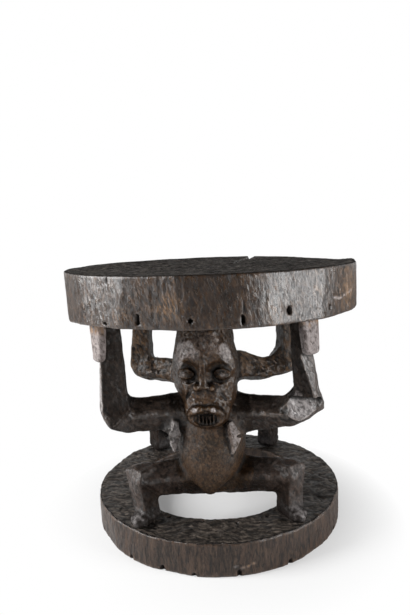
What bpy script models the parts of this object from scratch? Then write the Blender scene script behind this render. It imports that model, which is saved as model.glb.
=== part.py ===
"""Caryatid stool: a thick round seat carried by two squatting figures, back to back, on a ring base.

Metres, +Z up. The origin is on the floor, on the stool's axis, and the front figure faces -Y.
Left and right are those of someone who stands before a figure and looks at it.
The stool is carved from one log, so the pieces meet along the carved forms' own boundaries.
"""

import math

import bpy
from mathutils import Matrix, Vector

# The stool's own sizes
STOOL_HEIGHT = 0.382
SEAT_DIAMETER = 0.420
SEAT_THICKNESS = 0.0635
SEAT_RIM_TAPER = 0.003
BASE_DIAMETER = 0.366
BASE_HOLE_DIAMETER = 0.248
BASE_THICKNESS = 0.048
EDGE_ROUND = 0.004
HEWN_WAVE = 0.0012
FIT_GAP = 0.0003

# The figures' places: heights are above the base's top face, angles are from the figure's front
FIGURE_OFFSET = 0.074
FRONT_LEAN = -0.012
BACK_LEAN = -0.003
HEAD_TWIST = -6.5
TORSO_TWIST = -11.0
LEG_ANGLE = 40.5
ARM_ANGLE = 50.0
ARM_INSET = 0.040

# Head and face
CHIN_HEIGHT = 0.117
HEAD_WIDTH = 0.090
HEAD_DEPTH = 0.086
CROWN_WIDTH = 0.074
CHIN_WIDTH = 0.024
FACE_FORWARD = 0.054
BROW_HEIGHT = 0.104
BROW_SWELL = 0.004
EYE_HEIGHT = 0.079
EYE_SPACING = 0.048
EYE_DIAMETER = 0.017
EYE_SWELL = 0.007
SOCKET_DIAMETER = 0.031
SOCKET_DEPTH = 0.008
NOSE_LENGTH = 0.036
NOSE_TIP_HEIGHT = 0.057
NOSE_BRIDGE_WIDTH = 0.010
NOSE_WIDTH = 0.028
NOSE_SWELL = 0.011
MOUTH_HEIGHT = 0.020
MOUTH_WIDTH = 0.040
MOUTH_OPENING = 0.014
MOUTH_DEPTH = 0.008
LIP_THICKNESS = 0.010
LIP_SWELL = 0.007
MUZZLE_WIDTH = 0.058
MUZZLE_SWELL = 0.005

# Torso
TORSO_WIDTH = 0.098
TORSO_DEPTH = 0.090
TORSO_BOTTOM = 0.016
TORSO_TOP = 0.160
PELVIS_WIDTH = 0.066
BELLY_SWELL = 0.031
BELLY_TIP_HEIGHT = 0.032
BELLY_PEAK_HEIGHT = 0.067
BELLY_FADE = 0.090
BELLY_HEIGHT = 0.062
BELLY_WIDTH = 0.092
BREAST_HEIGHT = 0.110
BREAST_SPACING = 0.078
BREAST_WIDTH = 0.026
BREAST_LENGTH = 0.044
BREAST_SWELL = 0.014

# Arms
SHOULDER_HEIGHT = 0.140
UPPER_ARM_THICKNESS = 0.045
ELBOW_THICKNESS = 0.040
WRIST_THICKNESS = 0.029
ELBOW_FLARE = 0.001
ELBOW_BEND = 0.021
HAND_LENGTH = 0.058
HAND_WIDTH = 0.031
HAND_THICKNESS = 0.017

# Legs
HIP_HEIGHT = 0.046
KNEE_HEIGHT = 0.059
THIGH_THICKNESS = 0.046
KNEE_THICKNESS = 0.038
ANKLE_THICKNESS = 0.029
KNEE_BEND = 0.020
FOOT_LENGTH = 0.047
FOOT_WIDTH = 0.029
FOOT_HEIGHT = 0.016
FOOT_SPLAY = 28.0

# Facets: how finely the round forms are drawn
RIM_SIDES = 64
HEAD_SIDES = 34
HEAD_RINGS = 34
TORSO_SIDES = 28
TORSO_RINGS = 18
LIMB_SIDES = 12
STRAIGHT_RINGS = 4
BEND_RINGS = 5
FRONT_CROWDING = 0.5

# Derived levels
SEAT_UNDERSIDE = STOOL_HEIGHT - SEAT_THICKNESS
BASE_TOP = BASE_THICKNESS
LEG_RADIUS = (BASE_DIAMETER + BASE_HOLE_DIAMETER) / 4
ARM_RADIUS = SEAT_DIAMETER / 2 - ARM_INSET
HEAD_HEIGHT = SEAT_UNDERSIDE - FIT_GAP - BASE_TOP - CHIN_HEIGHT

# Colour of each kind of piece, as linear red, green and blue, and how rough its surface is
WOOD_TONES = {
    "seat": ((0.105, 0.085, 0.070), 0.50),
    "base": ((0.075, 0.058, 0.050), 0.55),
    "head": ((0.060, 0.044, 0.033), 0.48),
    "torso": ((0.060, 0.042, 0.031), 0.52),
    "arm": ((0.045, 0.038, 0.033), 0.50),
    "hand": ((0.180, 0.145, 0.120), 0.55),
    "leg": ((0.050, 0.040, 0.034), 0.52),
    "foot": ((0.070, 0.060, 0.054), 0.55),
}


def smooth_step(value):
    """0 below 0, 1 above 1, and a smooth rise between."""
    value = min(1.0, max(0.0, value))
    return value * value * (3.0 - 2.0 * value)


def bump(distance, radius):
    """A round swelling: 1 at its middle and about 0.02 at its radius."""
    return math.exp(-4.0 * (distance / radius) ** 2)


def between(stations, position):
    """Values at a position on a smooth curve through (position, value, value, ...) stations."""
    last = len(stations) - 2
    index = next((i for i in range(last) if position < stations[i + 1][0]), last)
    low, high = stations[index], stations[index + 1]
    before, after = stations[max(index - 1, 0)], stations[min(index + 2, last + 1)]
    span = high[0] - low[0]
    share = (position - low[0]) / span
    values = []
    for k in range(1, len(low)):
        leave = (high[k] - before[k]) / (high[0] - before[0]) * span
        arrive = (after[k] - low[k]) / (after[0] - low[0]) * span
        rise = high[k] - low[k]
        bend = (3 * rise - 2 * leave - arrive) * share**2 + (leave + arrive - 2 * rise) * share**3
        values.append(low[k] + leave * share + bend)
    return values


def rounded_square(angle, squareness):
    """Point at an angle on a closed section that lies between a circle (2) and a square (high)."""
    power = 2.0 / squareness
    across, along = math.cos(angle), math.sin(angle)
    return (math.copysign(abs(across) ** power, across), math.copysign(abs(along) ** power, along))


def wood(kind):
    """The material of one kind of piece, made once."""
    name = f"{kind}_wood"
    if name in bpy.data.materials:
        return bpy.data.materials[name]
    colour, roughness = WOOD_TONES[kind]
    material = bpy.data.materials.new(name)
    material.use_nodes = True
    shader = material.node_tree.nodes["Principled BSDF"]
    shader.inputs["Base Color"].default_value = (*colour, 1.0)
    shader.inputs["Roughness"].default_value = roughness
    shader.inputs["Metallic"].default_value = 0.0
    return material


def make_object(name, points, faces, kind, parent=None):
    """A named, smooth-shaded object from points and faces."""
    mesh = bpy.data.meshes.new(name)
    mesh.from_pydata([tuple(p) for p in points], [], faces)
    mesh.shade_smooth()
    mesh.set_sharp_from_angle(angle=math.radians(40))
    mesh.materials.append(wood(kind))
    made = bpy.data.objects.new(name, mesh)
    bpy.context.scene.collection.objects.link(made)
    made.parent = parent
    return made


def band(low, high, sides):
    """Triangles between two rings of points, given each ring's first point."""
    faces = []
    for k in range(sides):
        after = (k + 1) % sides
        faces.append((low + k, low + after, high + after))
        faces.append((low + k, high + after, high + k))
    return faces


def loft(name, rings, kind, parent=None):
    """A closed skin over rings of equal count, which run anticlockwise seen from the last ring's end."""
    sides = len(rings[0])
    points = [p for ring in rings for p in ring]
    faces = [tuple(reversed(range(sides)))]
    for row in range(len(rings) - 1):
        faces += band(row * sides, (row + 1) * sides, sides)
    top = (len(rings) - 1) * sides
    faces.append(tuple(range(top, top + sides)))
    return make_object(name, points, faces, kind, parent)


def cope(piece, *neighbours):
    """Cuts a piece to the outer form of its neighbours, with the fitting gap between them."""
    for neighbour in neighbours:
        cutter = bpy.data.objects.new(f"{piece.name}_cut_by_{neighbour.name}", neighbour.data)
        bpy.context.scene.collection.objects.link(cutter)
        cutter.parent = neighbour.parent
        cutter.hide_render = True
        cutter.display_type = "WIRE"
        grow = cutter.modifiers.new("fitting_gap", "DISPLACE")
        grow.strength = FIT_GAP
        grow.mid_level = 0.0
        cut = piece.modifiers.new(f"seat_on_{neighbour.name}", "BOOLEAN")
        cut.operation = "DIFFERENCE"
        cut.solver = "EXACT"
        cut.object = cutter


def hewn(angle):
    """The adzed outline's slow wave; it repeats after half a turn, so the disc stays centred."""
    return HEWN_WAVE * (math.cos(4 * angle + 0.6) + 0.6 * math.cos(6 * angle - 0.9) - 0.8)


def disc_ring(radius, height):
    """One level of a hewn disc's rim, anticlockwise from above."""
    ring = []
    for k in range(RIM_SIDES):
        angle = 2 * math.pi * k / RIM_SIDES
        reach = radius + hewn(angle)
        ring.append(Vector((reach * math.cos(angle), reach * math.sin(angle), height)))
    return ring


def rim_levels(low, high, low_radius, high_radius):
    """Radius and height up a rim whose two edges are rounded over."""
    round_steps = (0.0, 0.5, 1.0)
    levels = []
    for step in round_steps:
        turn = step * math.pi / 2
        inset, rise = EDGE_ROUND * (1 - math.sin(turn)), EDGE_ROUND * (1 - math.cos(turn))
        levels.append((low_radius - inset, low + rise))
    for step in round_steps:
        turn = step * math.pi / 2
        inset, drop = EDGE_ROUND * (1 - math.cos(turn)), EDGE_ROUND * (1 - math.sin(turn))
        levels.append((high_radius - inset, high - drop))
    return levels


def build_seat():
    """The thick seat disc, flat above and below, its rim drawn in a little downwards."""
    radius = SEAT_DIAMETER / 2
    levels = rim_levels(SEAT_UNDERSIDE, STOOL_HEIGHT, radius - SEAT_RIM_TAPER, radius)
    return loft("seat", [disc_ring(r, z) for r, z in levels], "seat")


def build_base():
    """The ring that the figures stand on: an outer rim, an inner wall, and flat faces between."""
    outer = rim_levels(0.0, BASE_THICKNESS, BASE_DIAMETER / 2, BASE_DIAMETER / 2)
    hole = BASE_HOLE_DIAMETER / 2
    inner = [(2 * hole - r, z) for r, z in reversed(rim_levels(0.0, BASE_THICKNESS, hole, hole))]
    rings = [disc_ring(r, z) for r, z in outer + inner]
    points = [p for ring in rings for p in ring]
    faces = []
    for row in range(len(rings)):
        faces += band(row * RIM_SIDES, (row + 1) % len(rings) * RIM_SIDES, RIM_SIDES)
    return make_object("base_ring", points, faces, "base")


def leaning(lean, height):
    """Sideways shift of a figure that leans by the given amount at the seat's underside."""
    return lean * (height - BASE_TOP) / (SEAT_UNDERSIDE - BASE_TOP)


def body_ring(half_width, front, back, height, sides, squareness, centre_x, twist, relief):
    """A level section of a head or torso, twisted about the figure's upright axis.

    relief(across, height) pushes its front face forward.
    """
    ring = []
    axis = Vector((centre_x, -FIGURE_OFFSET, height))
    spin = Matrix.Rotation(math.radians(twist), 3, "Z")
    middle, half_depth = (front + back) / 2, (front - back) / 2
    for k in range(sides):
        turn = 2 * math.pi * k / sides
        across, along = rounded_square(turn - FRONT_CROWDING * math.cos(turn), squareness)
        x = half_width * across
        forward = middle - half_depth * along
        facing = smooth_step(-along * 1.6)
        forward += facing * relief(x, height - BASE_TOP)
        ring.append(axis + spin @ Vector((x, -forward, 0.0)))
    return ring


def face_relief(across, height):
    """How far the carved face stands forward of the head's plain egg."""
    up = height - CHIN_HEIGHT
    side = abs(across)
    eye_distance = math.hypot(side - EYE_SPACING / 2, up - EYE_HEIGHT)
    brow_line = BROW_HEIGHT - 0.4 * abs(side - EYE_SPACING / 2)
    brow_reach = smooth_step((HEAD_WIDTH / 2 - side) / (HEAD_WIDTH / 8))
    nose_share = (NOSE_TIP_HEIGHT + NOSE_LENGTH - up) / NOSE_LENGTH
    nose_half = (NOSE_BRIDGE_WIDTH + (NOSE_WIDTH - NOSE_BRIDGE_WIDTH) * smooth_step(nose_share) ** 2) / 2
    nose_rise = smooth_step(nose_share * 2.5) * smooth_step((up - NOSE_TIP_HEIGHT) / 0.006 + 1.0)
    mouth_distance = math.hypot(side / (MOUTH_WIDTH / 2), (up - MOUTH_HEIGHT) / (MOUTH_OPENING / 2))
    lip_distance = (mouth_distance - 1.0) * MOUTH_OPENING / 2 - LIP_THICKNESS / 2
    muzzle_distance = math.hypot(side, up - MOUTH_HEIGHT)
    forward = BROW_SWELL * bump(up - brow_line, 0.014) * brow_reach
    forward -= SOCKET_DEPTH * bump(eye_distance, SOCKET_DIAMETER / 1.6)
    forward += (SOCKET_DEPTH + EYE_SWELL) * 0.75 * bump(eye_distance, EYE_DIAMETER / 1.5)
    forward += NOSE_SWELL * (0.4 + 0.6 * nose_share) * nose_rise * bump(side, nose_half * 1.8)
    forward += MUZZLE_SWELL * bump(muzzle_distance, MUZZLE_WIDTH / 1.6)
    forward += LIP_SWELL * bump(lip_distance, LIP_THICKNESS)
    return forward - MOUTH_DEPTH * smooth_step(1.5 - mouth_distance)


def build_head(figure, lean, twist, parent):
    """The egg-shaped head, chin down, its crown flat under the seat."""
    half, chin, crown = HEAD_WIDTH / 2, CHIN_WIDTH / 2, CROWN_WIDTH / 2
    front, back = FACE_FORWARD, FACE_FORWARD - HEAD_DEPTH
    stations = [
        (0.00, chin, front - 0.010, front - 0.34 * HEAD_DEPTH),
        (0.05, chin + 0.29 * (half - chin), front - 0.003, front - 0.46 * HEAD_DEPTH),
        (0.17, chin + 0.58 * (half - chin), front + 0.001, front - 0.66 * HEAD_DEPTH),
        (0.36, chin + 0.86 * (half - chin), front + 0.001, front - 0.86 * HEAD_DEPTH),
        (0.56, half, front, back),
        (0.74, half - 0.20 * (half - crown), front - 0.003, back - 0.002),
        (1.00, crown, front - 0.013, back + 0.006),
    ]
    rings = []
    for k in range(HEAD_RINGS):
        level = (k / (HEAD_RINGS - 1)) ** 1.2
        half_width, ring_front, ring_back = between(stations, level)
        height = BASE_TOP + CHIN_HEIGHT + level * HEAD_HEIGHT
        middle = leaning(lean, height)
        rings.append(
            body_ring(
                half_width, ring_front, ring_back, height, HEAD_SIDES, 2.2, middle, twist, face_relief
            )
        )
    return loft(f"{figure}_head", rings, "head", parent)


def torso_relief(across, height):
    """The shield-shaped belly and the two hanging breasts."""
    side = abs(across)
    rise = (height - BELLY_TIP_HEIGHT) / BELLY_HEIGHT
    shield = BELLY_WIDTH / 2 * math.sqrt(min(1.0, max(0.01, rise)))
    below = (BELLY_PEAK_HEIGHT - height) / (BELLY_PEAK_HEIGHT - BELLY_TIP_HEIGHT)
    egg = math.sqrt(max(0.0, 1.0 - max(0.0, below) ** 2))
    fullness = egg * (1.0 - smooth_step((height - BELLY_PEAK_HEIGHT) / BELLY_FADE))
    belly = BELLY_SWELL * fullness * max(0.0, 1.0 - (side / shield) ** 2)
    breast_across = (side - BREAST_SPACING / 2) / BREAST_WIDTH
    breast_up = (height - BREAST_HEIGHT) / BREAST_LENGTH
    return belly + BREAST_SWELL * bump(math.hypot(breast_across, breast_up), 0.6)


def build_torso(figure, lean, twist, parent):
    """Chest, belly and pelvis in one piece, from between the thighs to the shoulders."""
    half, pelvis = TORSO_WIDTH / 2, PELVIS_WIDTH / 2
    front, back = 0.53 * TORSO_DEPTH, -0.47 * TORSO_DEPTH
    stations = [
        (0.00, pelvis - 0.004, front - 0.026, back + 0.010),
        (0.10, pelvis + 0.3 * (half - pelvis), front - 0.020, back + 0.004),
        (0.28, pelvis + 0.6 * (half - pelvis), front - 0.017, back + 0.002),
        (0.48, half - 0.003, front - 0.015, back),
        (0.69, half, front - 0.013, back - 0.002),
        (0.86, half, front - 0.018, back - 0.002),
        (1.00, half - 0.007, front - 0.030, back + 0.002),
    ]
    rings = []
    for k in range(TORSO_RINGS):
        level = k / (TORSO_RINGS - 1)
        half_width, ring_front, ring_back = between(stations, level)
        height = BASE_TOP + TORSO_BOTTOM + level * (TORSO_TOP - TORSO_BOTTOM)
        middle = leaning(lean, height)
        rings.append(
            body_ring(
                half_width, ring_front, ring_back, height, TORSO_SIDES, 2.4, middle, twist, torso_relief
            )
        )
    return loft(f"{figure}_torso", rings, "torso", parent)


def bent_path(start, corner, end, bend):
    """Places and headings along a line that turns a rounded corner: straight, arc, straight."""
    first, second = (corner - start).normalized(), (end - corner).normalized()
    turn = first.angle(second)
    leg = bend * math.tan(turn / 2)
    axis = first.cross(second).normalized()
    arc_start, arc_end = corner - first * leg, corner + second * leg
    centre = arc_start + axis.cross(first) * bend
    path = [(start.lerp(arc_start, k / STRAIGHT_RINGS), first) for k in range(STRAIGHT_RINGS)]
    for k in range(BEND_RINGS):
        spin = Matrix.Rotation(turn * k / (BEND_RINGS - 1), 3, axis)
        path.append((centre + spin @ (arc_start - centre), spin @ first))
    path += [(arc_end.lerp(end, (k + 1) / STRAIGHT_RINGS), second) for k in range(STRAIGHT_RINGS)]
    return path, axis


def limb_ring(place, heading, axis, half_across, half_along, squareness):
    """A section of a limb: across is square to the plane that the limb bends in."""
    along = heading.cross(axis)
    ring = []
    for k in range(LIMB_SIDES):
        u, v = rounded_square(2 * math.pi * (k + 0.5) / LIMB_SIDES, squareness)
        ring.append(place + axis * (half_across * u) + along * (half_along * v))
    return ring


def bent_limb(names, corners, bend, thicknesses, kind, parent, flat_end=None):
    """Two pieces of a limb that meet in a plane across the middle of its bend."""
    path, axis = bent_path(*corners, bend)
    middle = STRAIGHT_RINGS + BEND_RINGS // 2
    start, corner, end = (thickness / 2 for thickness in thicknesses)
    stations = [(0.0, start), (middle / (len(path) - 1), corner), (1.0, end)]
    rings = []
    for k, (place, heading) in enumerate(path):
        half = between(stations, k / (len(path) - 1))[0]
        rings.append(limb_ring(place, heading, axis, half, half, 3.0))
    if flat_end is not None:
        for point in rings[-1]:
            point.z = flat_end
    seam = [p + path[middle][1] * FIT_GAP for p in rings[middle]]
    near = loft(names[0], rings[: middle + 1], kind, parent)
    far = loft(names[1], [seam] + rings[middle + 1 :], kind, parent)
    return near, far


def build_arm(figure, side, sign, lean, parent, torso, head):
    """Upper arm out from the shoulder, forearm straight up to the seat, hand flat on its outer side."""
    angle = math.radians(ARM_ANGLE)
    outward = Vector((sign * math.sin(angle), -math.cos(angle), 0.0))
    wrist = outward * ARM_RADIUS + Vector((lean, 0.0, SEAT_UNDERSIDE - FIT_GAP))
    elbow_height = BASE_TOP + SHOULDER_HEIGHT
    elbow_lean = leaning(lean, elbow_height)
    elbow = Vector((outward.x * ARM_RADIUS + sign * ELBOW_FLARE + elbow_lean, wrist.y, elbow_height))
    shoulder = Vector((elbow_lean + sign * TORSO_WIDTH / 8, -FIGURE_OFFSET, elbow_height))
    upper, fore = bent_limb(
        (f"{figure}_{side}_upper_arm", f"{figure}_{side}_forearm"),
        (shoulder, elbow, wrist),
        ELBOW_BEND,
        (UPPER_ARM_THICKNESS, ELBOW_THICKNESS, WRIST_THICKNESS),
        "arm",
        parent,
        flat_end=wrist.z,
    )
    cope(upper, torso, head)
    build_hand(f"{figure}_{side}_hand", wrist, outward, parent, fore)


def build_hand(name, wrist, outward, parent, forearm):
    """A mitten of a hand: its heel is rounded, and its fingertips end flat under the seat."""
    tangent = Vector((0.0, 0.0, 1.0)).cross(outward)
    stations = [
        (0.00, 0.35, 0.45, 0.000),
        (0.10, 0.72, 0.80, 0.001),
        (0.30, 1.00, 1.00, 0.001),
        (0.70, 0.95, 0.95, 0.000),
        (1.00, 0.86, 0.88, -0.001),
    ]
    reach = WRIST_THICKNESS / 2
    rings = []
    levels = 7
    for k in range(levels):
        level = k / (levels - 1)
        wide, thick, shift = between(stations, level)
        place = wrist + outward * (reach + shift) - Vector((0.0, 0.0, HAND_LENGTH * (1 - level)))
        ring = []
        for j in range(LIMB_SIDES):
            u, v = rounded_square(2 * math.pi * (j + 0.5) / LIMB_SIDES, 3.0)
            sideways = tangent * (HAND_WIDTH / 2 * wide * u)
            ring.append(place + sideways - outward * (HAND_THICKNESS / 2 * thick * v))
        rings.append(ring)
    cope(loft(name, rings, "hand", parent), forearm)


def build_leg(figure, side, sign, lean, parent, torso):
    """Thigh out from the pelvis, shin down to the ring, and a short splayed foot."""
    angle = math.radians(LEG_ANGLE)
    outward = Vector((sign * math.sin(angle), -math.cos(angle), 0.0))
    hip_height = BASE_TOP + HIP_HEIGHT
    hip_side = leaning(lean, hip_height) + sign * PELVIS_WIDTH / 5
    hip = Vector((hip_side, 0.1 * TORSO_DEPTH - FIGURE_OFFSET, hip_height))
    knee = outward * LEG_RADIUS + Vector((0.0, 0.0, BASE_TOP + KNEE_HEIGHT))
    ankle = outward * LEG_RADIUS + Vector((0.0, 0.0, BASE_TOP + FOOT_HEIGHT + 2 * FIT_GAP))
    build_foot(f"{figure}_{side}_foot", ankle, sign, parent)
    thigh, _ = bent_limb(
        (f"{figure}_{side}_thigh", f"{figure}_{side}_shin"),
        (hip, knee, ankle),
        KNEE_BEND,
        (THIGH_THICKNESS, KNEE_THICKNESS, ANKLE_THICKNESS),
        "leg",
        parent,
        flat_end=ankle.z,
    )
    cope(thigh, torso)


def build_foot(name, ankle, sign, parent):
    """A wedge of a foot, flat under its sole, from the heel behind the shin to the toes at the rim."""
    splay = math.radians(FOOT_SPLAY)
    ahead = Vector((sign * math.sin(splay), -math.cos(splay), 0.0))
    across = Vector((0.0, 0.0, 1.0)).cross(ahead)
    stations = [
        (0.00, 0.60, 0.80),
        (0.15, 0.92, 1.00),
        (0.55, 1.00, 1.00),
        (0.80, 1.00, 0.74),
        (1.00, 0.78, 0.42),
    ]
    heel_share = 0.36
    sole = BASE_TOP + FIT_GAP
    rings = []
    levels = 7
    for k in range(levels):
        level = k / (levels - 1)
        wide, high = between(stations, level)
        place = ankle + ahead * (FOOT_LENGTH * (level - heel_share))
        half_height = FOOT_HEIGHT * min(high, 1.0) / 2
        ring = []
        for j in range(LIMB_SIDES):
            u, v = rounded_square(2 * math.pi * (j + 0.5) / LIMB_SIDES, 4.0)
            point = place - across * (FOOT_WIDTH / 2 * wide * u)
            point.z = sole + half_height * (1.0 - v)
            ring.append(point)
        rings.append(ring)
    return loft(name, rings, "foot", parent)


def build_figure(figure, turn, lean, hand):
    """One caryatid, carved facing -Y and then turned about the stool's axis; hand mirrors its twist."""
    axis = bpy.data.objects.new(f"{figure}_figure", None)
    bpy.context.scene.collection.objects.link(axis)
    axis.rotation_euler.z = turn
    torso = build_torso(figure, lean, hand * TORSO_TWIST, axis)
    head = build_head(figure, lean, hand * HEAD_TWIST, axis)
    cope(head, torso)
    for side, sign in (("left", -1.0), ("right", 1.0)):
        build_arm(figure, side, sign, lean, axis, torso, head)
        build_leg(figure, side, sign, lean, axis, torso)


def main():
    for old in list(bpy.data.objects):
        bpy.data.objects.remove(old)
    build_seat()
    build_base()
    build_figure("front", 0.0, FRONT_LEAN, 1.0)
    build_figure("back", math.pi, BACK_LEAN, -1.0)


main()
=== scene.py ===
# Caryatid stool: the looks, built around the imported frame
import math

import bpy
import numpy as np
import openvdb
from mathutils import Matrix, Vector


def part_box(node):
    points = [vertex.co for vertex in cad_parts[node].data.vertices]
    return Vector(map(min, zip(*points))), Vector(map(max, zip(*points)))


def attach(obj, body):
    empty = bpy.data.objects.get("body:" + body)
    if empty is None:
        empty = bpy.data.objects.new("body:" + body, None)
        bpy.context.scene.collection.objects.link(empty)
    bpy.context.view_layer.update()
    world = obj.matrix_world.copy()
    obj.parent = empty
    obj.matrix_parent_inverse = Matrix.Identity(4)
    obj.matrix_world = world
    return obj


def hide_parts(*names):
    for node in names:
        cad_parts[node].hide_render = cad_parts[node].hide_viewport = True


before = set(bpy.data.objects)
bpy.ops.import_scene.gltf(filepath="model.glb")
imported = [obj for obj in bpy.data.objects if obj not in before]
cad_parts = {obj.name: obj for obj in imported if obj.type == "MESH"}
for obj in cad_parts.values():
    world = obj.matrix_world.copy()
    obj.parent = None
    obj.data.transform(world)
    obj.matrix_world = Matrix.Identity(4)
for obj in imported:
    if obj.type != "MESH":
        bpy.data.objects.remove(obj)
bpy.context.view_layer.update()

# Levels and sizes taken from the frame, in metres; the rims stay this little inside it
RIM_SPARE = 0.0001
SEAT_LOW, SEAT_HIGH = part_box("seat")
_, BASE_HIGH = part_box("base_ring")
SEAT_UNDERSIDE = SEAT_LOW.z
SEAT_TOP = SEAT_HIGH.z
BASE_TOP = BASE_HIGH.z
SEAT_RADIUS = SEAT_HIGH.x - RIM_SPARE
SEAT_SQUASH = (SEAT_HIGH.y - RIM_SPARE) / SEAT_RADIUS
BASE_RADIUS = BASE_HIGH.x - RIM_SPARE
BASE_SQUASH = (BASE_HIGH.y - RIM_SPARE) / BASE_RADIUS

# Each figure's distance from the stool's axis, its chin's height, and the front one's turns in degrees
FIGURE_OFFSET = 0.074
CHIN = BASE_TOP + 0.117
HEAD_TWIST = -6.5
TORSO_TWIST = -11.0
# The sides of a figure as someone who faces it sees them
SIDES = {-1: "left", 1: "right"}
UP = np.array((0.0, 0.0, 1.0))

# Cell sizes of the carved pieces and how far neighbours run under each other
FINE_CELL = 0.0011
COARSE_CELL = 0.0014
OVERLAP = 0.006
OVERLAP_DIP = 25.0
BORDER_FADE = 0.012
# Steps over which an edge is felt, and how far a full edge stands out for each step
EDGE_SPREAD = 2
EDGE_PROUD = 0.00016
# Seat and base have their second material where a face's normal is upright by more than this
LEVEL_SLOPE = 0.75

# Camera fitted to the photograph, which is taken as 410 by 615
PHOTO_HEIGHT = 615
FOCAL_PIXELS = 525.7
SENSOR = 36.0
CAMERA_PLACE = Vector((0.0, -0.78242, 0.42572))
CAMERA_FORWARD = Vector((-0.01170212, 0.99012453, -0.1397014))
CAMERA_ROLL = math.radians(-2.28)


# Repeatable noise
def hashed(ix, iy, iz, seed):
    mixed = (ix * 73856093) ^ (iy * 19349663) ^ (iz * 83492791) ^ (seed * 40503 + 977)
    mixed = mixed & 0xFFFFFFFF
    mixed = ((mixed ^ (mixed >> 15)) * 73244475) & 0xFFFFFFFF
    mixed = ((mixed ^ (mixed >> 15)) * 73244475) & 0xFFFFFFFF
    mixed = mixed ^ (mixed >> 16)
    return (mixed & 0xFFFFFF) / float(0xFFFFFF)


def smooth_noise(points, size, seed):
    """Smooth noise from -1 to 1 at n points; size is a number or one number for each axis."""
    scaled = points / np.asarray(size, float)
    cell = np.floor(scaled).astype(np.int64)
    part = scaled - cell
    part = part * part * (3.0 - 2.0 * part)
    total = np.zeros(len(points))
    for corner in range(8):
        step = np.array((corner & 1, corner >> 1 & 1, corner >> 2 & 1))
        near = cell + step
        weight = np.prod(np.where(step == 1, part, 1.0 - part), axis=1)
        total += weight * hashed(near[:, 0], near[:, 1], near[:, 2], seed)
    return total * 2.0 - 1.0


def rough_noise(points, size, octaves, seed):
    total = np.zeros(len(points))
    for octave in range(octaves):
        scale = np.asarray(size, float) / 2.0 ** octave
        total += smooth_noise(points, scale, seed + octave) / 2.0 ** octave
    return total


def scoops(points, size, seed):
    """Depth from 0 to 1 of a field of overlapping tool cuts: 1 in a cut's middle, 0 on the ridges."""
    scaled = points / np.asarray(size, float)
    cell = np.floor(scaled).astype(np.int64)
    nearest = np.full(len(points), 9.0)
    for corner in range(27):
        near = cell + np.array((corner % 3 - 1, corner // 3 % 3 - 1, corner // 9 - 1))
        away = np.zeros(len(points))
        for axis in range(3):
            jitter = hashed(near[:, 0], near[:, 1], near[:, 2], seed + 7 * axis)
            away += (near[:, axis] + jitter - scaled[:, axis]) ** 2
        nearest = np.minimum(nearest, away)
    return 1.0 - np.clip(nearest, 0.0, 1.0)


def directed(points, axis):
    """The points in a frame whose third axis runs along the given direction."""
    third = np.asarray(axis, float) / np.linalg.norm(axis)
    helper = np.array((0.0, 1.0, 0.0)) if abs(third[1]) < 0.8 else np.array((1.0, 0.0, 0.0))
    first = np.cross(helper, third)
    first /= np.linalg.norm(first)
    second = np.cross(third, first)
    return points @ np.stack((first, second, third), axis=1)


# Solid shapes as distance fields on a grid
def smooth_min(a, b, blend):
    near = np.maximum(blend - np.abs(a - b), 0.0) / blend
    return np.minimum(a, b) - near * near * blend * 0.25


def smooth_max(a, b, blend):
    return -smooth_min(-a, -b, blend)


def unit(vector):
    return vector / np.linalg.norm(vector)


def risen(values, start, width):
    """0 up to a start, and rising from there to 1 within a width."""
    return np.clip((values - start) / width, 0.0, 1.0)


def eased(values, low, high):
    share = risen(values, low, high - low)
    return share * share * (3.0 - 2.0 * share)


def curve(where, stations, values):
    """Smooth curve through the values at the stations."""
    stations = np.asarray(stations, float)
    values = np.asarray(values, float)
    slopes = np.gradient(values, stations)
    where = np.clip(where, stations[0], stations[-1])
    index = np.clip(np.searchsorted(stations, where, side="right") - 1, 0, len(stations) - 2)
    span = stations[index + 1] - stations[index]
    t = (where - stations[index]) / span
    rise = values[index + 1] - values[index]
    a = slopes[index] * span - rise
    b = rise - slopes[index + 1] * span
    return values[index] + t * rise + t * (1.0 - t) * (a * (1.0 - t) + b * t)


def ellipsoid(at, centre, radii):
    q = [(a - c) / r for a, c, r in zip(at, centre, radii)]
    near = np.sqrt(q[0] ** 2 + q[1] ** 2 + q[2] ** 2)
    steep = np.sqrt((q[0] / radii[0]) ** 2 + (q[1] / radii[1]) ** 2 + (q[2] / radii[2]) ** 2)
    return near * (near - 1.0) / np.maximum(steep, 1e-4)


def along(at, origin, direction):
    return sum((a - o) * d for a, o, d in zip(at, origin, direction))


def flattened(form, at, point, direction, reach):
    """The form with one flat knife cut that is kept within reach of a point."""
    cut = smooth_min(along(at, point, direction), -ellipsoid(at, point, reach), 0.006)
    return smooth_max(form, cut, 0.0012)


def capsule(at, start, end, start_radius, end_radius):
    run = np.subtract(end, start)
    t = np.clip(along(at, start, run) / float(run @ run), 0.0, 1.0)
    squares = sum((a - s - t * r) ** 2 for a, s, r in zip(at, start, run))
    return np.sqrt(squares) - (start_radius + (end_radius - start_radius) * t)


def strand(at, points, radii):
    result = None
    for index in range(len(points) - 1):
        link = capsule(at, points[index], points[index + 1], radii[index], radii[index + 1])
        result = link if result is None else np.minimum(result, link)
    return result


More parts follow.
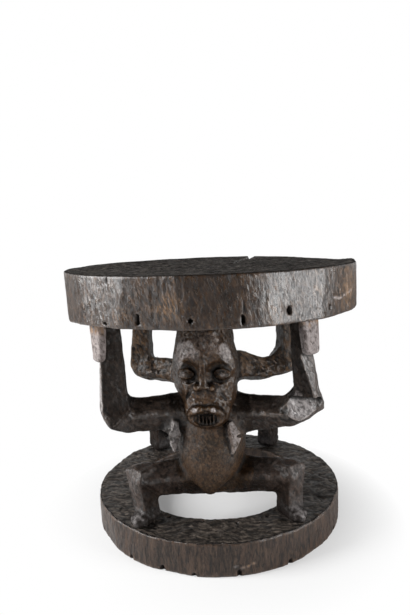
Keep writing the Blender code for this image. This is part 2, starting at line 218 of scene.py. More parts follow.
def bar(at, start, end, start_half, end_half, side, rounding):
    """A tapering bar of rounded rectangular section; its first half-size faces the side direction."""
    start = np.asarray(start, float)
    run = np.asarray(end, float) - start
    length = np.linalg.norm(run)
    w = run / length
    side = np.asarray(side, float)
    u = unit(side - (side @ w) * w)
    v = np.cross(w, u)
    s = along(at, start, w)
    t = np.clip(s / length, 0.0, 1.0)
    gaps = []
    for direction, a, b in ((u, start_half[0], end_half[0]), (v, start_half[1], end_half[1])):
        gaps.append(np.abs(along(at, start, direction)) - (a + (b - a) * t - rounding))
    gaps.append(np.abs(s - length / 2) - (length / 2 - rounding))
    outside = np.sqrt(sum(np.maximum(g, 0.0) ** 2 for g in gaps))
    inside = np.minimum(np.maximum(np.maximum(gaps[0], gaps[1]), gaps[2]), 0.0)
    return outside + inside - rounding


def column(at, rows, power, cap):
    """An upright form with oval sections; rows of height, half-width, and reach to front and back."""
    heights, widths, fronts, backs = zip(*rows)
    width = curve(at[2], heights, widths)
    front = curve(at[2], heights, fronts)
    back = curve(at[2], heights, backs)
    middle = -FIGURE_OFFSET - (front + back) / 2
    depth = (front - back) / 2
    q = np.abs(at[0] / width)
    r = np.abs((at[1] - middle) / depth)
    near = (q ** power + r ** power) ** (1.0 / power)
    steep = np.sqrt((q / width) ** 2 + (r / depth) ** 2)
    result = near * (near - 1.0) / np.maximum(steep, 1e-4)
    result = smooth_max(result, heights[0] - at[2], cap)
    return smooth_max(result, at[2] - heights[-1], cap)


# The head and its face
HEAD_ROWS = tuple(
    (CHIN + height, width, front, back)
    for height, width, front, back in (
        (0.0000, 0.0090, 0.0400, 0.0140),
        (0.0080, 0.0213, 0.0465, 0.0040),
        (0.0220, 0.0290, 0.0490, -0.0100),
        (0.0350, 0.0340, 0.0470, -0.0190),
        (0.0490, 0.0385, 0.0455, -0.0260),
        (0.0650, 0.0420, 0.0455, -0.0310),
        (0.0790, 0.0446, 0.0465, -0.0335),
        (0.0925, 0.0450, 0.0480, -0.0340),
        (0.1130, 0.0412, 0.0475, -0.0335),
        (0.1350, 0.0370, 0.0410, -0.0310),
        (0.1558, 0.0385, 0.0385, -0.0310),
    )
)
HEAD_POWER = 2.25
# Height above the chin, spread and share by which each cheek is fuller
CHEEKS = {-1: (0.0560, 0.0230, 0.285), 1: (0.0380, 0.0140, 0.11)}
# Strands on each half of the face: rows of sideways place, height above the chin, how far out, and radius
BROW = (
    (0.0050, 0.1080, -0.0046, 0.0018),
    (0.0140, 0.1165, -0.0046, 0.0038),
    (0.0225, 0.1100, -0.0046, 0.0062),
    (0.0300, 0.0985, -0.0046, 0.0068),
    (0.0365, 0.0840, -0.0046, 0.0050),
)
CHEEKBONE = (
    (0.0375, 0.0700, -0.0012, 0.0022),
    (0.0345, 0.0560, -0.0012, 0.0032),
    (0.0300, 0.0420, -0.0012, 0.0024),
)
EYE_FOLD = (
    (0.0120, 0.0690, -0.0030, 0.0012),
    (0.0200, 0.0630, -0.0030, 0.0022),
    (0.0290, 0.0640, -0.0030, 0.0024),
    (0.0350, 0.0720, -0.0030, 0.0016),
)
NOSE_RIDGE = (
    (0.0022, 0.1030, -0.0010, 0.0024),
    (0.0022, 0.0870, 0.0020, 0.0026),
    (0.0022, 0.0730, 0.0055, 0.0036),
    (0.0022, 0.0650, 0.0070, 0.0044),
)
CHEEK_GROOVE = (
    (0.0180, 0.0640, 0.0006, 0.0014),
    (0.0215, 0.0530, 0.0006, 0.0016),
    (0.0265, 0.0430, 0.0006, 0.0010),
)
# Balls on each half of the face: sideways place, height above the chin and how far out, then radii
EYE_SOCKET = (0.0205, 0.0770, 0.0030), (0.0148, 0.0118, 0.0176)
EYE_BALL = (0.0240, 0.0785, -0.0084), (0.0126, 0.0098, 0.0110)
NOSE_WING = (0.0096, 0.0620, 0.0026), (0.0066, 0.0074, 0.0060)
NOSTRIL = (0.0066, 0.0565, 0.0062), (0.0028, 0.0034, 0.0022)
# Eyelids: share of the eyeball's half-height, and radius; then the shares of its half-width on the way
EYELIDS = ((0.62, 0.0015), (0.24, 0.0011), (-0.50, 0.0014))
LID_SHARES = (-0.84, -0.56, -0.28, 0.0, 0.28, 0.56, 0.84)
LID_PROUD = 0.0002
# Flat knife cuts on the forehead: sideways place, height above the chin, azimuth, slope, depth, and the
# share of painted highlight on the front figure's
FOREHEAD_CUTS = (
    (-0.0265, 0.1110, -46, 8, 0.0013, 0.48),
    (-0.0135, 0.1125, -24, 12, 0.0011, 0.40),
    (0.0150, 0.1200, 22, 16, 0.0008, 0.15),
    (0.0300, 0.1060, 46, 10, 0.0008, 0.42),
    (0.0010, 0.1260, 0, 18, 0.0008, 0.10),
    (-0.0345, 0.0950, -62, -6, 0.0008, 0.35),
)
FOREHEAD_PROUD = 0.0022
FOREHEAD_REACH = 0.0150
# Painted highlights on the front figure's face: sideways place, height above the chin, reach and share
FACE_GLINTS = (
    (-0.0287, 0.0789, 0.0050, 0.45),
    (0.0245, 0.0785, 0.0042, 0.40),
    (-0.0144, 0.0338, 0.0044, 0.80),
    (0.0112, 0.0348, 0.0044, 0.80),
    (-0.0300, 0.0924, 0.0052, 0.60),
)
# The muzzle's middle before the figure's axis and above the chin, and its radii; the lips' front and curve
MUZZLE = (0.0335, 0.0250)
MUZZLE_RADII = (0.0300, 0.0190, 0.0225)
LIP_FRONT = 0.0540
LIP_CURVE = 11.0
LIP_STEPS = 24
LIP_SIDE = 0.0225
LIP_MIDDLE = 0.0225
UPPER_LIP_RISE = 0.0130
LOWER_LIP_DROP = 0.0105
MOUTH_DROP = 0.0020
MOUTH_OUT = 0.0010
MOUTH_RADII = (0.0200, 0.0110, 0.0080)
# Teeth: count, pitch, half-sizes, lower and upper end from the lips' middle, and how far out
TEETH = 7
TOOTH_PITCH = 0.0047
TOOTH_HALF = (0.0015, 0.0022)
TOOTH_ENDS = (-0.0130, 0.0025)
TOOTH_OUT = -0.0060
# The ear's middle (aside, behind the axis, above the chin), half-sizes, and turns with the radii there
EAR_MIDDLE = (0.0405, 0.0060, 0.0730)
EAR_HALF = (0.0080, 0.0130)
EAR_RADII = {-70: 0.0024, -30: 0.0034, 10: 0.0038, 50: 0.0038, 90: 0.0032, 130: 0.0022}
# The groove below the cap: height above the chin, slope, where it is level, depth and half-width
CAP_HEIGHT = 0.1390
CAP_SLOPE = 0.25
CAP_LEVEL_AT = 0.03
CAP_DEPTH = 0.0005
CAP_HALF = 0.0016


def face_point(x, height, out):
    """A point of the face at a sideways place and a height above the chin, pushed out of the surface."""
    heights, widths, fronts, backs = zip(*HEAD_ROWS)
    z = np.array(CHIN + height)
    width = float(curve(z, heights, widths))
    front = float(curve(z, heights, fronts))
    back = float(curve(z, heights, backs))
    share = min(abs(x) / width, 0.999)
    reach = (1.0 - share ** HEAD_POWER) ** (1.0 / HEAD_POWER)
    y = -FIGURE_OFFSET - (front + back) / 2 - (front - back) / 2 * reach
    return np.array((x, y - out, CHIN + height))


def muzzle_point(x, height, out):
    return np.array((x, -FIGURE_OFFSET - LIP_FRONT + LIP_CURVE * x * x - out, CHIN + height))


def facing(turn, slope):
    """Unit direction at an azimuth from the front and a slope above the level, in degrees."""
    turn = math.radians(turn)
    slope = math.radians(slope)
    return np.array((math.sin(turn) * math.cos(slope), -math.cos(turn) * math.cos(slope), math.sin(slope)))


def face_strand(at, side, rows):
    points = [face_point(side * x, height, out) for x, height, out, _ in rows]
    return strand(at, points, [row[3] for row in rows])


def ball_middle(side, ball):
    x, height, out = ball[0]
    return face_point(side * x, height, out)


def face_ball(at, side, ball):
    return ellipsoid(at, ball_middle(side, ball), ball[1])


def lid_point(side, across, up):
    """A point on the front of an eyeball, given as shares of its half-width and half-height."""
    wide, deep, high = EYE_BALL[1]
    bulge = math.sqrt(max(1.0 - across * across - up * up, 0.0))
    return ball_middle(side, EYE_BALL) + np.array((across * wide, -bulge * deep - LID_PROUD, up * high))


def add_eyes(at, head):
    for side in SIDES:
        head = smooth_max(head, -face_ball(at, side, EYE_SOCKET), 0.0080)
    for side in SIDES:
        head = smooth_min(head, face_ball(at, side, EYE_BALL), 0.0024)
        for lift, radius in EYELIDS:
            lid = [lid_point(side, share, lift * (1.0 - share * share)) for share in LID_SHARES]
            head = smooth_min(head, strand(at, lid, [radius] * len(lid)), 0.0010)
        head = smooth_min(head, face_strand(at, side, EYE_FOLD), 0.0030)
    return head


def forehead_flats():
    """Middle, direction, reach and painted highlight share of each cut on the forehead."""
    return [(face_point(x, height, FOREHEAD_PROUD - depth), facing(turn, slope), FOREHEAD_REACH, share)
            for x, height, turn, slope, depth, share in FOREHEAD_CUTS]


def add_brow(at, head):
    for side in SIDES:
        head = smooth_min(head, face_strand(at, side, BROW), 0.011)
        head = smooth_min(head, face_strand(at, side, CHEEKBONE), 0.005)
    for middle, direction, _, _ in forehead_flats():
        head = smooth_max(head, along(at, middle, direction), 0.0006)
    return head


def add_nose(at, head):
    for side in SIDES:
        head = smooth_min(head, face_strand(at, side, NOSE_RIDGE), 0.0030)
        head = smooth_min(head, face_ball(at, side, NOSE_WING), 0.0036)
        head = smooth_max(head, -face_ball(at, side, NOSTRIL), 0.0015)
        head = smooth_max(head, -face_strand(at, side, CHEEK_GROOVE), 0.0030)
    return head


def add_mouth(at, head):
    muzzle = (0.0, -FIGURE_OFFSET - MUZZLE[0], CHIN + MUZZLE[1])
    head = smooth_min(head, ellipsoid(at, muzzle, MUZZLE_RADII), 0.010)
    lips = []
    radii = []
    for step in range(LIP_STEPS + 1):
        turn = step / LIP_STEPS * 2 * math.pi
        upper = max(math.sin(turn), 0.0)
        lower = max(-math.sin(turn), 0.0)
        height = LIP_MIDDLE + UPPER_LIP_RISE * upper - LOWER_LIP_DROP * lower
        out = 0.0012 * upper - 0.0014 * lower - 0.0022
        lips.append(muzzle_point(LIP_SIDE * math.cos(turn), height, out))
        notch = min(1.6 * abs(math.cos(turn)), 1.0)
        radii.append(0.0038 + 0.0032 * upper * notch - 0.0006 * lower + 0.0004 * math.sin(step * 2.9))
    head = smooth_min(head, strand(at, lips, radii), 0.0024)
    hollow = muzzle_point(0.0, LIP_MIDDLE - MOUTH_DROP, MOUTH_OUT)
    head = smooth_max(head, -ellipsoid(at, hollow, MOUTH_RADII), 0.0010)
    for index in range(TEETH):
        x = (index - (TEETH - 1) / 2) * TOOTH_PITCH
        low, high = [muzzle_point(x, LIP_MIDDLE + end, TOOTH_OUT) for end in TOOTH_ENDS]
        head = np.minimum(head, bar(at, low, high, TOOTH_HALF, TOOTH_HALF, (1.0, 0.0, 0.0), 0.0008))
    return head


def add_ears_and_cap(at, head):
    aside, behind, height = EAR_MIDDLE
    for side in SIDES:
        ear = []
        for turn in EAR_RADII:
            angle = math.radians(turn)
            y = -FIGURE_OFFSET + behind + EAR_HALF[0] * math.cos(angle)
            ear.append(np.array((side * aside, y, CHIN + height + EAR_HALF[1] * math.sin(angle))))
        head = smooth_min(head, strand(at, ear, list(EAR_RADII.values())), 0.0025)
    level = CHIN + CAP_HEIGHT + CAP_SLOPE * (at[1] + FIGURE_OFFSET + CAP_LEVEL_AT)
    return head + CAP_DEPTH * np.exp(-((np.abs(at[2] - level) / CAP_HALF) ** 2))


def head_field(at):
    x = at[0]
    for side, (height, spread, share) in CHEEKS.items():
        fuller = 1.0 + share * np.exp(-((at[2] - CHIN - height) / spread) ** 2)
        x = np.where(side * x > 0.0, x / fuller, x)
    head = column((x, at[1], at[2]), HEAD_ROWS, HEAD_POWER, 0.002)
    for add in (add_ears_and_cap, add_brow, add_eyes, add_nose, add_mouth):
        head = add(at, head)
    return head


# The body
TORSO_ROWS = (
    (0.0800, 0.0060, 0.0520, 0.0400),
    (0.0865, 0.0120, 0.0560, 0.0320),
    (0.0985, 0.0262, 0.0600, 0.0100),
    (0.1150, 0.0400, 0.0625, -0.0200),
    (0.1300, 0.0455, 0.0610, -0.0330),
    (0.1600, 0.0475, 0.0500, -0.0420),
    (0.1850, 0.0450, 0.0380, -0.0430),
    (0.2000, 0.0400, 0.0300, -0.0400),
    (0.2110, 0.0340, 0.0220, -0.0360),
)
PELVIS = (0.0, -0.0800, 0.0905), (0.0420, 0.0360, 0.0240)
SPINE = (0.0, -0.0285, 0.0900), (0.0, -0.0310, 0.2000), 0.0040, 0.0030
SHOULDER_SWELL = (0.0400, -0.0760, 0.1820), (0.0230, 0.0270, 0.0185)
# Points down a breast's ridge, each with the share by which it stands out of the chest with the breast
BREAST_POINTS = (
    (0.0345, -0.1080, 0.1790, 1.0),
    (0.0400, -0.1105, 0.1600, 1.0),
    (0.0375, -0.1190, 0.1370, 0.5),
)
# How much further aside and out each breast stands, half its width, and its share of painted highlight
BREAST_TURN = 45.0
BREASTS = {-1: (0.0060, 0.0090, 0.0098, 0.85), 1: (-0.0030, 0.0035, 0.0082, 0.45)}
SHOULDER_CUT = 0.0520
HIP_CUT = 0.0400
HIP_CUT_SLOPE = 0.35
HIP_CUT_HEIGHT = 0.0850
HIP_CUT_TOP = 0.1400
# Blends of arms, legs and feet into what carries them
SHOULDER_BLEND = 0.010
HIP_BLEND = 0.008
ANKLE_BLEND = 0.004
# Joints of the right limbs, what way upper arms and thighs face, and how far limbs sink into seat and base
SHOULDER = (0.0340, -0.0800, 0.1840)
ELBOW = (0.1255, -0.1090, 0.1865)
FOREARM_TOP = (0.1210, -0.1090, 0.3205)
HIP = (0.0120, -0.0840, 0.0925)
KNEE = (0.0990, -0.1170, 0.1020)
ANKLE = (0.0955, -0.1180, 0.0500)
ANKLE_CUT = 0.0650
FOOT_SPLAY = 24.0
LIMB_FACE = (0.0, -0.5, 0.87)
SEAT_SINK = 0.0010
BASE_SINK = 0.0005
# Azimuth from the front, outwards, of the outer flat of forearm, shin and hand on each side
FOREARM_TURN = {-1: 80.0, 1: 66.0}
SHIN_TURN = {-1: 47.0, 1: 36.0}
HAND_TURN = {-1: 48.0, 1: 38.0}
# Distance from the middle of the hand's upper and lower end, and its half-width there
HAND_SIDE = {-1: (0.1350, 0.1370), 1: (0.1352, 0.1362)}
HAND_HALF = {-1: (0.0150, 0.0115), 1: (0.0168, 0.0148)}
# Distance from the middle of the forearm's lower and upper end, and its half-widths there
FOREARM_SIDE = {-1: (0.1268, 0.1206), 1: (0.1310, 0.1238)}
FOREARM_HALF = {-1: ((0.0220, 0.0175), (0.0136, 0.0130)), 1: ((0.0185, 0.0175), (0.0098, 0.0140))}
# Long knife cut on each forearm's outer front corner: point, azimuth, slope and the height where it ends
FOREARM_CUT = {
    -1: ((-0.1372, -0.1250, 0.2546), -52.0, 4.0, 0.270),
    1: ((0.1209, -0.1245, 0.2636), 38.0, 14.0, 0.268),
}
# How much lower the upper arm lies on each side, its half-height at the shoulder, and the elbow's roundings
ARM_DROP = {-1: -0.0010, 1: 0.0042}
ARM_HALF = {-1: 0.0210, 1: 0.0195}
ELBOW_ROUNDING = {-1: 0.0095, 1: 0.0065}
ELBOW_FILLET = {-1: 0.010, 1: 0.018}
# Cuts on the elbows' ends: point from the elbow, azimuth and slope of the cut, and how soft its edges are
ELBOW_CUTS = {
    -1: (
        (0.0105, 0.0000, -0.0105, 90, -45, 0.012),
        (0.0165, 0.0000, -0.0030, 90, -22, 0.010),
        (0.0030, 0.0000, -0.0165, 90, -68, 0.010),
    ),
    1: (
        (0.0110, 0.0000, -0.0078, 90, -72, 0.003),
        (0.0178, -0.0094, 0.0103, 37.5, -24, 0.006),
    ),
}
# The wood left in the crook of the right elbow: point and turn of its face, then its middle and reach
CROOK_FACE = (0.1046, -0.1090, 0.2090)
CROOK_TURN = (-90.0, 38.5)
CROOK_MIDDLE = (0.1120, -0.1090, 0.2000)
CROOK_REACH = (0.0210, 0.0160, 0.0230)
# The rubbed cut over the right elbow, and the cuts on the knees as a distance from the knee
ELBOW_FLAT = (0.1063, -0.1230, 0.1955)
ELBOW_FLAT_TURN = (13.0, 22.0)
ELBOW_FLAT_REACH = (0.0600, 0.0300, 0.0150)
KNEE_FLAT_TURN = (36.0, 30.0)
KNEE_FLAT_DISTANCE = 0.0195


def sided(point, side):
    return np.array((side * point[0], point[1], point[2]))


def twisted(at, degrees):
    """The grid's coordinates in a frame that is turned about the upright axis of the front figure."""
    turn = math.radians(degrees)
    y = at[1] + FIGURE_OFFSET
    return (at[0] * math.cos(turn) + y * math.sin(turn),
            y * math.cos(turn) - at[0] * math.sin(turn) - FIGURE_OFFSET, at[2])


def breast_field(body, side):
    """A leaf of two facets that meet in a ridge, narrow above and pointed below."""
    aside, out, half, _ = BREASTS[side]
    points = [np.array((side * (x + aside), y - share * out, z)) for x, y, z, share in BREAST_POINTS]
    halves = ((0.0040, 0.0040), (half, half), (0.0018, 0.0018))
    ridge = facing(side * BREAST_TURN, 0)
    upper = bar(body, points[0], points[1], halves[0], halves[1], ridge, 0.0015)
    lower = bar(body, points[1], points[2], halves[1], halves[2], ridge, 0.0015)
    return smooth_min(upper, lower, 0.0020)


def torso_field(at):
    body = twisted(at, TORSO_TWIST)
    torso = column(body, TORSO_ROWS, 2.15, 0.004)
    torso = smooth_min(torso, ellipsoid(at, *PELVIS), 0.004)
    torso = smooth_max(torso, -capsule(at, *SPINE), 0.006)
    middle, radii = SHOULDER_SWELL
    for side in SIDES:
        torso = smooth_min(torso, ellipsoid(at, sided(middle, side), radii), 0.010)
        torso = smooth_min(torso, breast_field(body, side), 0.0025)
    return torso


def arm_bars(at, side):
    rounding = ELBOW_ROUNDING[side]
    drop = np.array((0.0, 0.0, ARM_DROP[side]))
    shoulder = sided(SHOULDER, side) - drop
    elbow = sided(ELBOW, side) - drop
    end = elbow + unit(elbow - shoulder) * 0.0200
    upper = bar(at, shoulder, end, (ARM_HALF[side], 0.0210), (0.0185, 0.0200), LIMB_FACE, rounding)
    foot = np.array((side * FOREARM_SIDE[side][0], ELBOW[1], elbow[2]))
    top = np.array((side * FOREARM_SIDE[side][1], FOREARM_TOP[1], FOREARM_TOP[2]))
    rise = unit(top - foot)
    low, high = FOREARM_HALF[side]
    face = facing(side * FOREARM_TURN[side], 0)
    fore = bar(at, foot - rise * 0.0195, top + rise * 0.0100, low, high, face, min(rounding, 0.0045))
    point, turn, slope, end_height = FOREARM_CUT[side]
    cut = smooth_min(along(at, point, facing(turn, slope)), (end_height - at[2]) * 0.6, 0.004)
    return upper, smooth_max(fore, cut, 0.0008)


def arm_field(at, side):
    upper, fore = arm_bars(at, side)
    arm = smooth_min(upper, fore, ELBOW_FILLET[side])
    if side > 0:
        crook = ellipsoid(at, CROOK_MIDDLE, CROOK_REACH)
        crook = smooth_max(crook, along(at, CROOK_FACE, facing(*CROOK_TURN)), 0.002)
        arm = smooth_min(arm, crook, 0.006)
    for x, y, z, turn, slope, soft in ELBOW_CUTS[side]:
        point = sided(ELBOW, side) + np.array((side * x, y, z))
        arm = smooth_max(arm, along(at, point, facing(side * turn, slope)), soft)
    if side > 0:
        arm = flattened(arm, at, ELBOW_FLAT, facing(*ELBOW_FLAT_TURN), ELBOW_FLAT_REACH)
    return arm


def knee_flat(side):
    """Point and direction of the cut on a knee."""
    direction = facing(side * KNEE_FLAT_TURN[0], KNEE_FLAT_TURN[1])
    return sided(KNEE, side) + direction * KNEE_FLAT_DISTANCE, direction


def leg_field(at, side):
    hip, knee, ankle = [sided(joint, side) for joint in (HIP, KNEE, ANKLE)]
    end = knee + unit(knee - hip) * 0.0150
    thigh = bar(at, hip, end, (0.0218, 0.0218), (0.0180, 0.0185), LIMB_FACE, 0.0090)
    start = knee - unit(ankle - knee) * 0.0190
    face = facing(side * SHIN_TURN[side], 0)
    shin = bar(at, start, ankle, (0.0168, 0.0172), (0.0130, 0.0150), face, 0.0050)
    return smooth_max(smooth_min(thigh, shin, 0.005), along(at, *knee_flat(side)), 0.0012)


def foot_field(at, side):
    ankle = sided(ANKLE, side)
    forward = facing(side * FOOT_SPLAY, 0)
    across = np.cross(forward, UP)
    heel = ankle - forward * 0.0120 + UP * 0.0055
    toe = ankle + forward * 0.0235 + np.array((side * 0.0020, 0.0, 0.0035))
    sole = bar(at, heel, toe, (0.0150, 0.0075), (0.0135, 0.0060), across, 0.0045)
    instep = capsule(at, ankle + UP * 0.0120, toe, 0.0125, 0.0070)
    return np.maximum(smooth_min(sole, instep, 0.006), below_base(at))


def hand_field(at, side):
    face = facing(side * HAND_TURN[side], 0)
    across = np.cross(face, UP)
    wide, narrow = HAND_HALF[side]
    top = np.array((side * HAND_SIDE[side][0], -0.1150, SEAT_UNDERSIDE + 0.0060))
    low = np.array((side * HAND_SIDE[side][1], -0.1160, 0.2640))
    hand = bar(at, top, low, (0.0075, wide), (0.0070, narrow), face, 0.0062)
    tip = low + UP * 0.0170
    blunt = ellipsoid(at, tip, (wide + 0.0020, wide + 0.0020, 0.0190))
    hand = np.where(at[2] < tip[2], smooth_max(hand, blunt, 0.004), hand)
    for share in (-0.5, 0.0, 0.5):
        start = top + face * 0.0090 + across * share * wide - UP * 0.0100
        hand = smooth_max(hand, -capsule(at, start, start - UP * 0.0170, 0.0016, 0.0012), 0.0015)
    return hand


# Each part's body and the region that it fills, where a border is 0 and the inside is below 0
def above_seat(at):
    return at[2] - SEAT_UNDERSIDE - SEAT_SINK


def below_base(at):
    return BASE_TOP - BASE_SINK - at[2]


def bend_plane(at, side, *joints):
    """Distance past the plane that halves the bend at the middle one of three joints."""
    before, corner, after = [sided(joint, side) for joint in joints]
    return along(at, corner, unit(unit(corner - before) + unit(after - corner)))


def elbow_plane(at, side):
    return bend_plane(at, side, SHOULDER, ELBOW, FOREARM_TOP)


def knee_plane(at, side):
    return bend_plane(at, side, HIP, KNEE, ANKLE)


def hip_line(at):
    return HIP_CUT + HIP_CUT_SLOPE * (at[2] - HIP_CUT_HEIGHT)


def parted(total, region):
    """The share of a form that lies in a region; it runs on a little way under its neighbour."""
    return np.maximum(total + OVERLAP_DIP * np.clip(region, 0.0, OVERLAP) ** 2, region - OVERLAP)


def no_border(at, side):
    """The region of a part that meets no other."""
    return np.full(np.shape(at[0]), -1.0)


def head_body(at, side):
    return np.maximum(head_field(at), above_seat(at))


def torso_region(at, side):
    edge = np.where(at[2] > HIP_CUT_TOP, SHOULDER_CUT, hip_line(at))
    return np.abs(at[0]) - edge


def torso_body(at, side):
    body = torso_field(at)
    for limb_side in SIDES:
        body = smooth_min(body, arm_field(at, limb_side), SHOULDER_BLEND)
        body = smooth_min(body, leg_field(at, limb_side), HIP_BLEND)
    return body


def upper_arm_region(at, side):
    return np.maximum(SHOULDER_CUT - side * at[0], elbow_plane(at, side))


def upper_arm_body(at, side):
    return smooth_min(torso_field(at), arm_field(at, side), SHOULDER_BLEND)


def forearm_region(at, side):
    return -elbow_plane(at, side)


def forearm_body(at, side):
    return np.maximum(arm_field(at, side), above_seat(at))


def hand_body(at, side):
    return np.maximum(hand_field(at, side), above_seat(at))


def thigh_region(at, side):
    return np.maximum(hip_line(at) - side * at[0], knee_plane(at, side))


def thigh_body(at, side):
    return smooth_min(torso_field(at), leg_field(at, side), HIP_BLEND)


def shin_region(at, side):
    return np.maximum(-knee_plane(at, side), ANKLE_CUT - at[2])


def shin_body(at, side):
    return smooth_min(leg_field(at, side), foot_field(at, side), ANKLE_BLEND)


def foot_region(at, side):
    return at[2] - ANKLE_CUT


def foot_body(at, side):
    return np.maximum(shin_body(at, side), below_base(at))


# Meshes
def grid(low, high, cell):
    axes = [np.arange(a, b + cell, cell, dtype=np.float32) for a, b in zip(low, high)]
    return axes[0][:, None, None], axes[1][None, :, None], axes[2][None, None, :]


def meshed(field, low, high, cell):
    """Points and quads of the surface where the field is zero."""
    at = grid(low, high, cell)
    shape = tuple(a.size for a in at)
    values = np.array(np.broadcast_to(field(at), shape), dtype=np.float32, order="C")
    volume = openvdb.FloatGrid(background=1.0)
    volume.copyFromArray(values)
    points, quads = volume.convertToQuads(isovalue=0.0)
    return points.astype(float) * cell + np.asarray(low, float), quads.astype(np.int64)


def vertex_normals(points, faces):
    corners = points[faces]
    flat = np.cross(corners[:, 2] - corners[:, 0], corners[:, 3] - corners[:, 1])
    normals = np.zeros_like(points)
    for axis in range(3):
        for corner in range(4):
            normals[:, axis] += np.bincount(faces[:, corner], flat[:, axis], len(points))
    return normals / np.maximum(np.linalg.norm(normals, axis=1, keepdims=True), 1e-12)


def neighbour_mean(values, faces):
    total = np.zeros_like(values)
    count = np.zeros(len(values))
    for corner in range(4):
        here = faces[:, corner]
        for there in (faces[:, (corner + 1) % 4], faces[:, (corner + 3) % 4]):
            count += np.bincount(here, minlength=len(values))
            for axis in range(values.shape[1]):
                total[:, axis] += np.bincount(here, values[there, axis], len(values))
    return total / np.maximum(count, 1.0)[:, None]


def edge_share(points, faces, normals):
    """How far each point stands out of (above 0) or lies in (below 0) its neighbourhood, as a share."""
    smooth = points
    for _ in range(EDGE_SPREAD):
        smooth = neighbour_mean(smooth, faces)
    proud = np.sum((points - smooth) * normals, axis=1)
    proud = neighbour_mean(proud[:, None], faces)[:, 0]
    return np.clip(proud / (EDGE_PROUD * EDGE_SPREAD), -1.0, 1.0)


def add_share(mesh, name, values):
    layer = mesh.attributes.new(name, "FLOAT", "POINT")
    layer.data.foreach_set("value", np.clip(values, -1.0, 1.0).astype(np.float32))


def new_piece(name, points, faces, node, materials, shares, rubbing=1.0):
    mesh = bpy.data.meshes.new(name)
    mesh.vertices.add(len(points))
    mesh.vertices.foreach_set("co", points.astype(np.float32).ravel())
    mesh.loops.add(faces.size)
    mesh.loops.foreach_set("vertex_index", faces.astype(np.int32).ravel())
    mesh.polygons.add(len(faces))
    mesh.polygons.foreach_set("loop_start", np.arange(0, faces.size, 4, dtype=np.int32))
    mesh.polygons.foreach_set("loop_total", np.full(len(faces), 4, dtype=np.int32))
    mesh.update(calc_edges=True)
    mesh.validate()
    mesh.polygons.foreach_set("use_smooth", np.ones(len(mesh.polygons), dtype=bool))
    normals = vertex_normals(points, faces)
    edge = edge_share(points, faces, normals)
    add_share(mesh, "edge", np.where(edge > 0.0, edge * rubbing, edge))
    for key, values in shares.items():
        add_share(mesh, key, values)
    for material in materials:
        mesh.materials.append(material)
    if len(materials) > 1:
        flat = normals[faces].mean(axis=1)[:, 2]
        mesh.polygons.foreach_set("material_index", (np.abs(flat) > LEVEL_SLOPE).astype(np.int32))
    piece = bpy.data.objects.new(name, mesh)
    bpy.context.scene.collection.objects.link(piece)
    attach(piece, "root")
    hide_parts(node)
    return piece


# The two figures
# Broad tool marks run on from piece to piece; each piece has its own depth of them inside, and its own fine
# marks with a length, a width and a depth
BROAD_SIZE = 0.0165
BROAD_DEPTH = 0.0014
LIMB_MARKS = (0.00140, 0.0120, 0.0058, 0.00110)
TORSO_MARKS = (0.00045, 0.0055, 0.0045, 0.00030)
HEAD_MARKS = (0.00070, 0.0068, 0.0050, 0.00080)
HAND_MARKS = (0.00060, 0.0085, 0.0050, 0.00040)
FRONT_SEED = 11
BACK_SEED = 83
# Share by which the marks are shallower on rubbed cuts, and the steps over which that fades
FLAT_CALM = 0.80
CALM_SPREAD = 7
# How far the standing edges of some parts are rubbed light, where others have 1
RUBBING = {"head": 0.55, "thigh": 0.6, "shin": 0.6, "foot": 0.5}
# Reach and pale share, a painted highlight, of the rubbed cuts, and where those on toes and forearms lie and
# face
ELBOW_RUB_AND_HIGHLIGHT = (0.036, 0.60)
KNEE_RUB_AND_HIGHLIGHT = (0.020, 0.03)
TOE_RUB_AND_HIGHLIGHT = (0.022, 0.32)
TOE_TURN = (25.0, 45.0)
TOE_DISTANCE = 0.0260
FOREARM_RUB_REACH = 0.040
FOREARM_HIGHLIGHT = {-1: 0.62, 1: 0.10}
FOREARM_RUB_ASIDE = 0.0080
FOREARM_RUB_HEIGHT = 0.2360
# Pale share of the hands, partly worn pale and partly painted highlight
HAND_PALE_AND_HIGHLIGHT = {"left_hand": 0.30, "right_hand": 0.42}
# Least shares by which parts are open to hands and light; less open parts are painted darker as shade, and
# the right upper arm's higher share paints it lighter
LEAST_OPEN = 0.12
LIMB_OPEN = 0.74
RIGHT_ARM_OPEN = 0.92
# The back figure's upper arms and thighs have one share, and the right hand keeps this much of its own; both
# darken them as painted shade
BACK_LIMB_OPEN = 0.62
RIGHT_HAND_OPEN = 0.72
# Height from which hands turn tan, and within how much; and how tan the back figure's arms are
HAND_TAN = (0.3000, 0.0080)
BACK_ARM_TAN = 0.28
# How far the figures lean sideways at the seat, and how the back one departs from the front one
FRONT_LEAN = -0.012
BACK_LEAN = 0.001
BACK_HEAD_LEAN = -0.004
BACK_HEAD_WIDTH = 0.88
BACK_ARM_RISE = 0.0105
BACK_SHOULDER_RISE = 0.0155
BACK_FOREARM_MIDDLE = 0.1225
BACK_FOREARM_SLIMMER = 0.06
BACK_FOREARM_INWARD = 0.0025
BACK_LEGS_SHIFT = -0.0040
BACK_CHEST_SHIFT = -0.0080
# Heights and sideways places between which these changes set in or fade
RISE_FROM = (0.125, 0.158)
RISE_TO = (0.200, 0.310)
SHOULDER_FROM = (0.0, 0.030)
SHOULDER_TO = (0.050, 0.088)
SHOULDER_HEIGHTS = (0.165, 0.205)
SLIM_HEIGHTS = (0.190, 0.215)
SLIM_ASIDE = (0.085, 0.100)
CHEST_HEIGHTS = (0.130, 0.160)
CHEST_ASIDE = (0.050, 0.090)
MIRROR = np.array((1.0, -1.0, 1.0))


def tooled(points, faces, axis, marks, border, depth, seed):
    """The points after the tool has cut its marks, deep by a share; border is 1 where two pieces meet."""
    normals = vertex_normals(points, faces)
    inside, length, width, fine = marks
    broad = (inside + (BROAD_DEPTH - inside) * border) * scoops(points, BROAD_SIZE, seed)
    narrow = fine * (1.0 - border) * scoops(directed(points, axis), (width, width, length), seed + 31)
    return points - normals * (depth * (broad + narrow))[:, None]


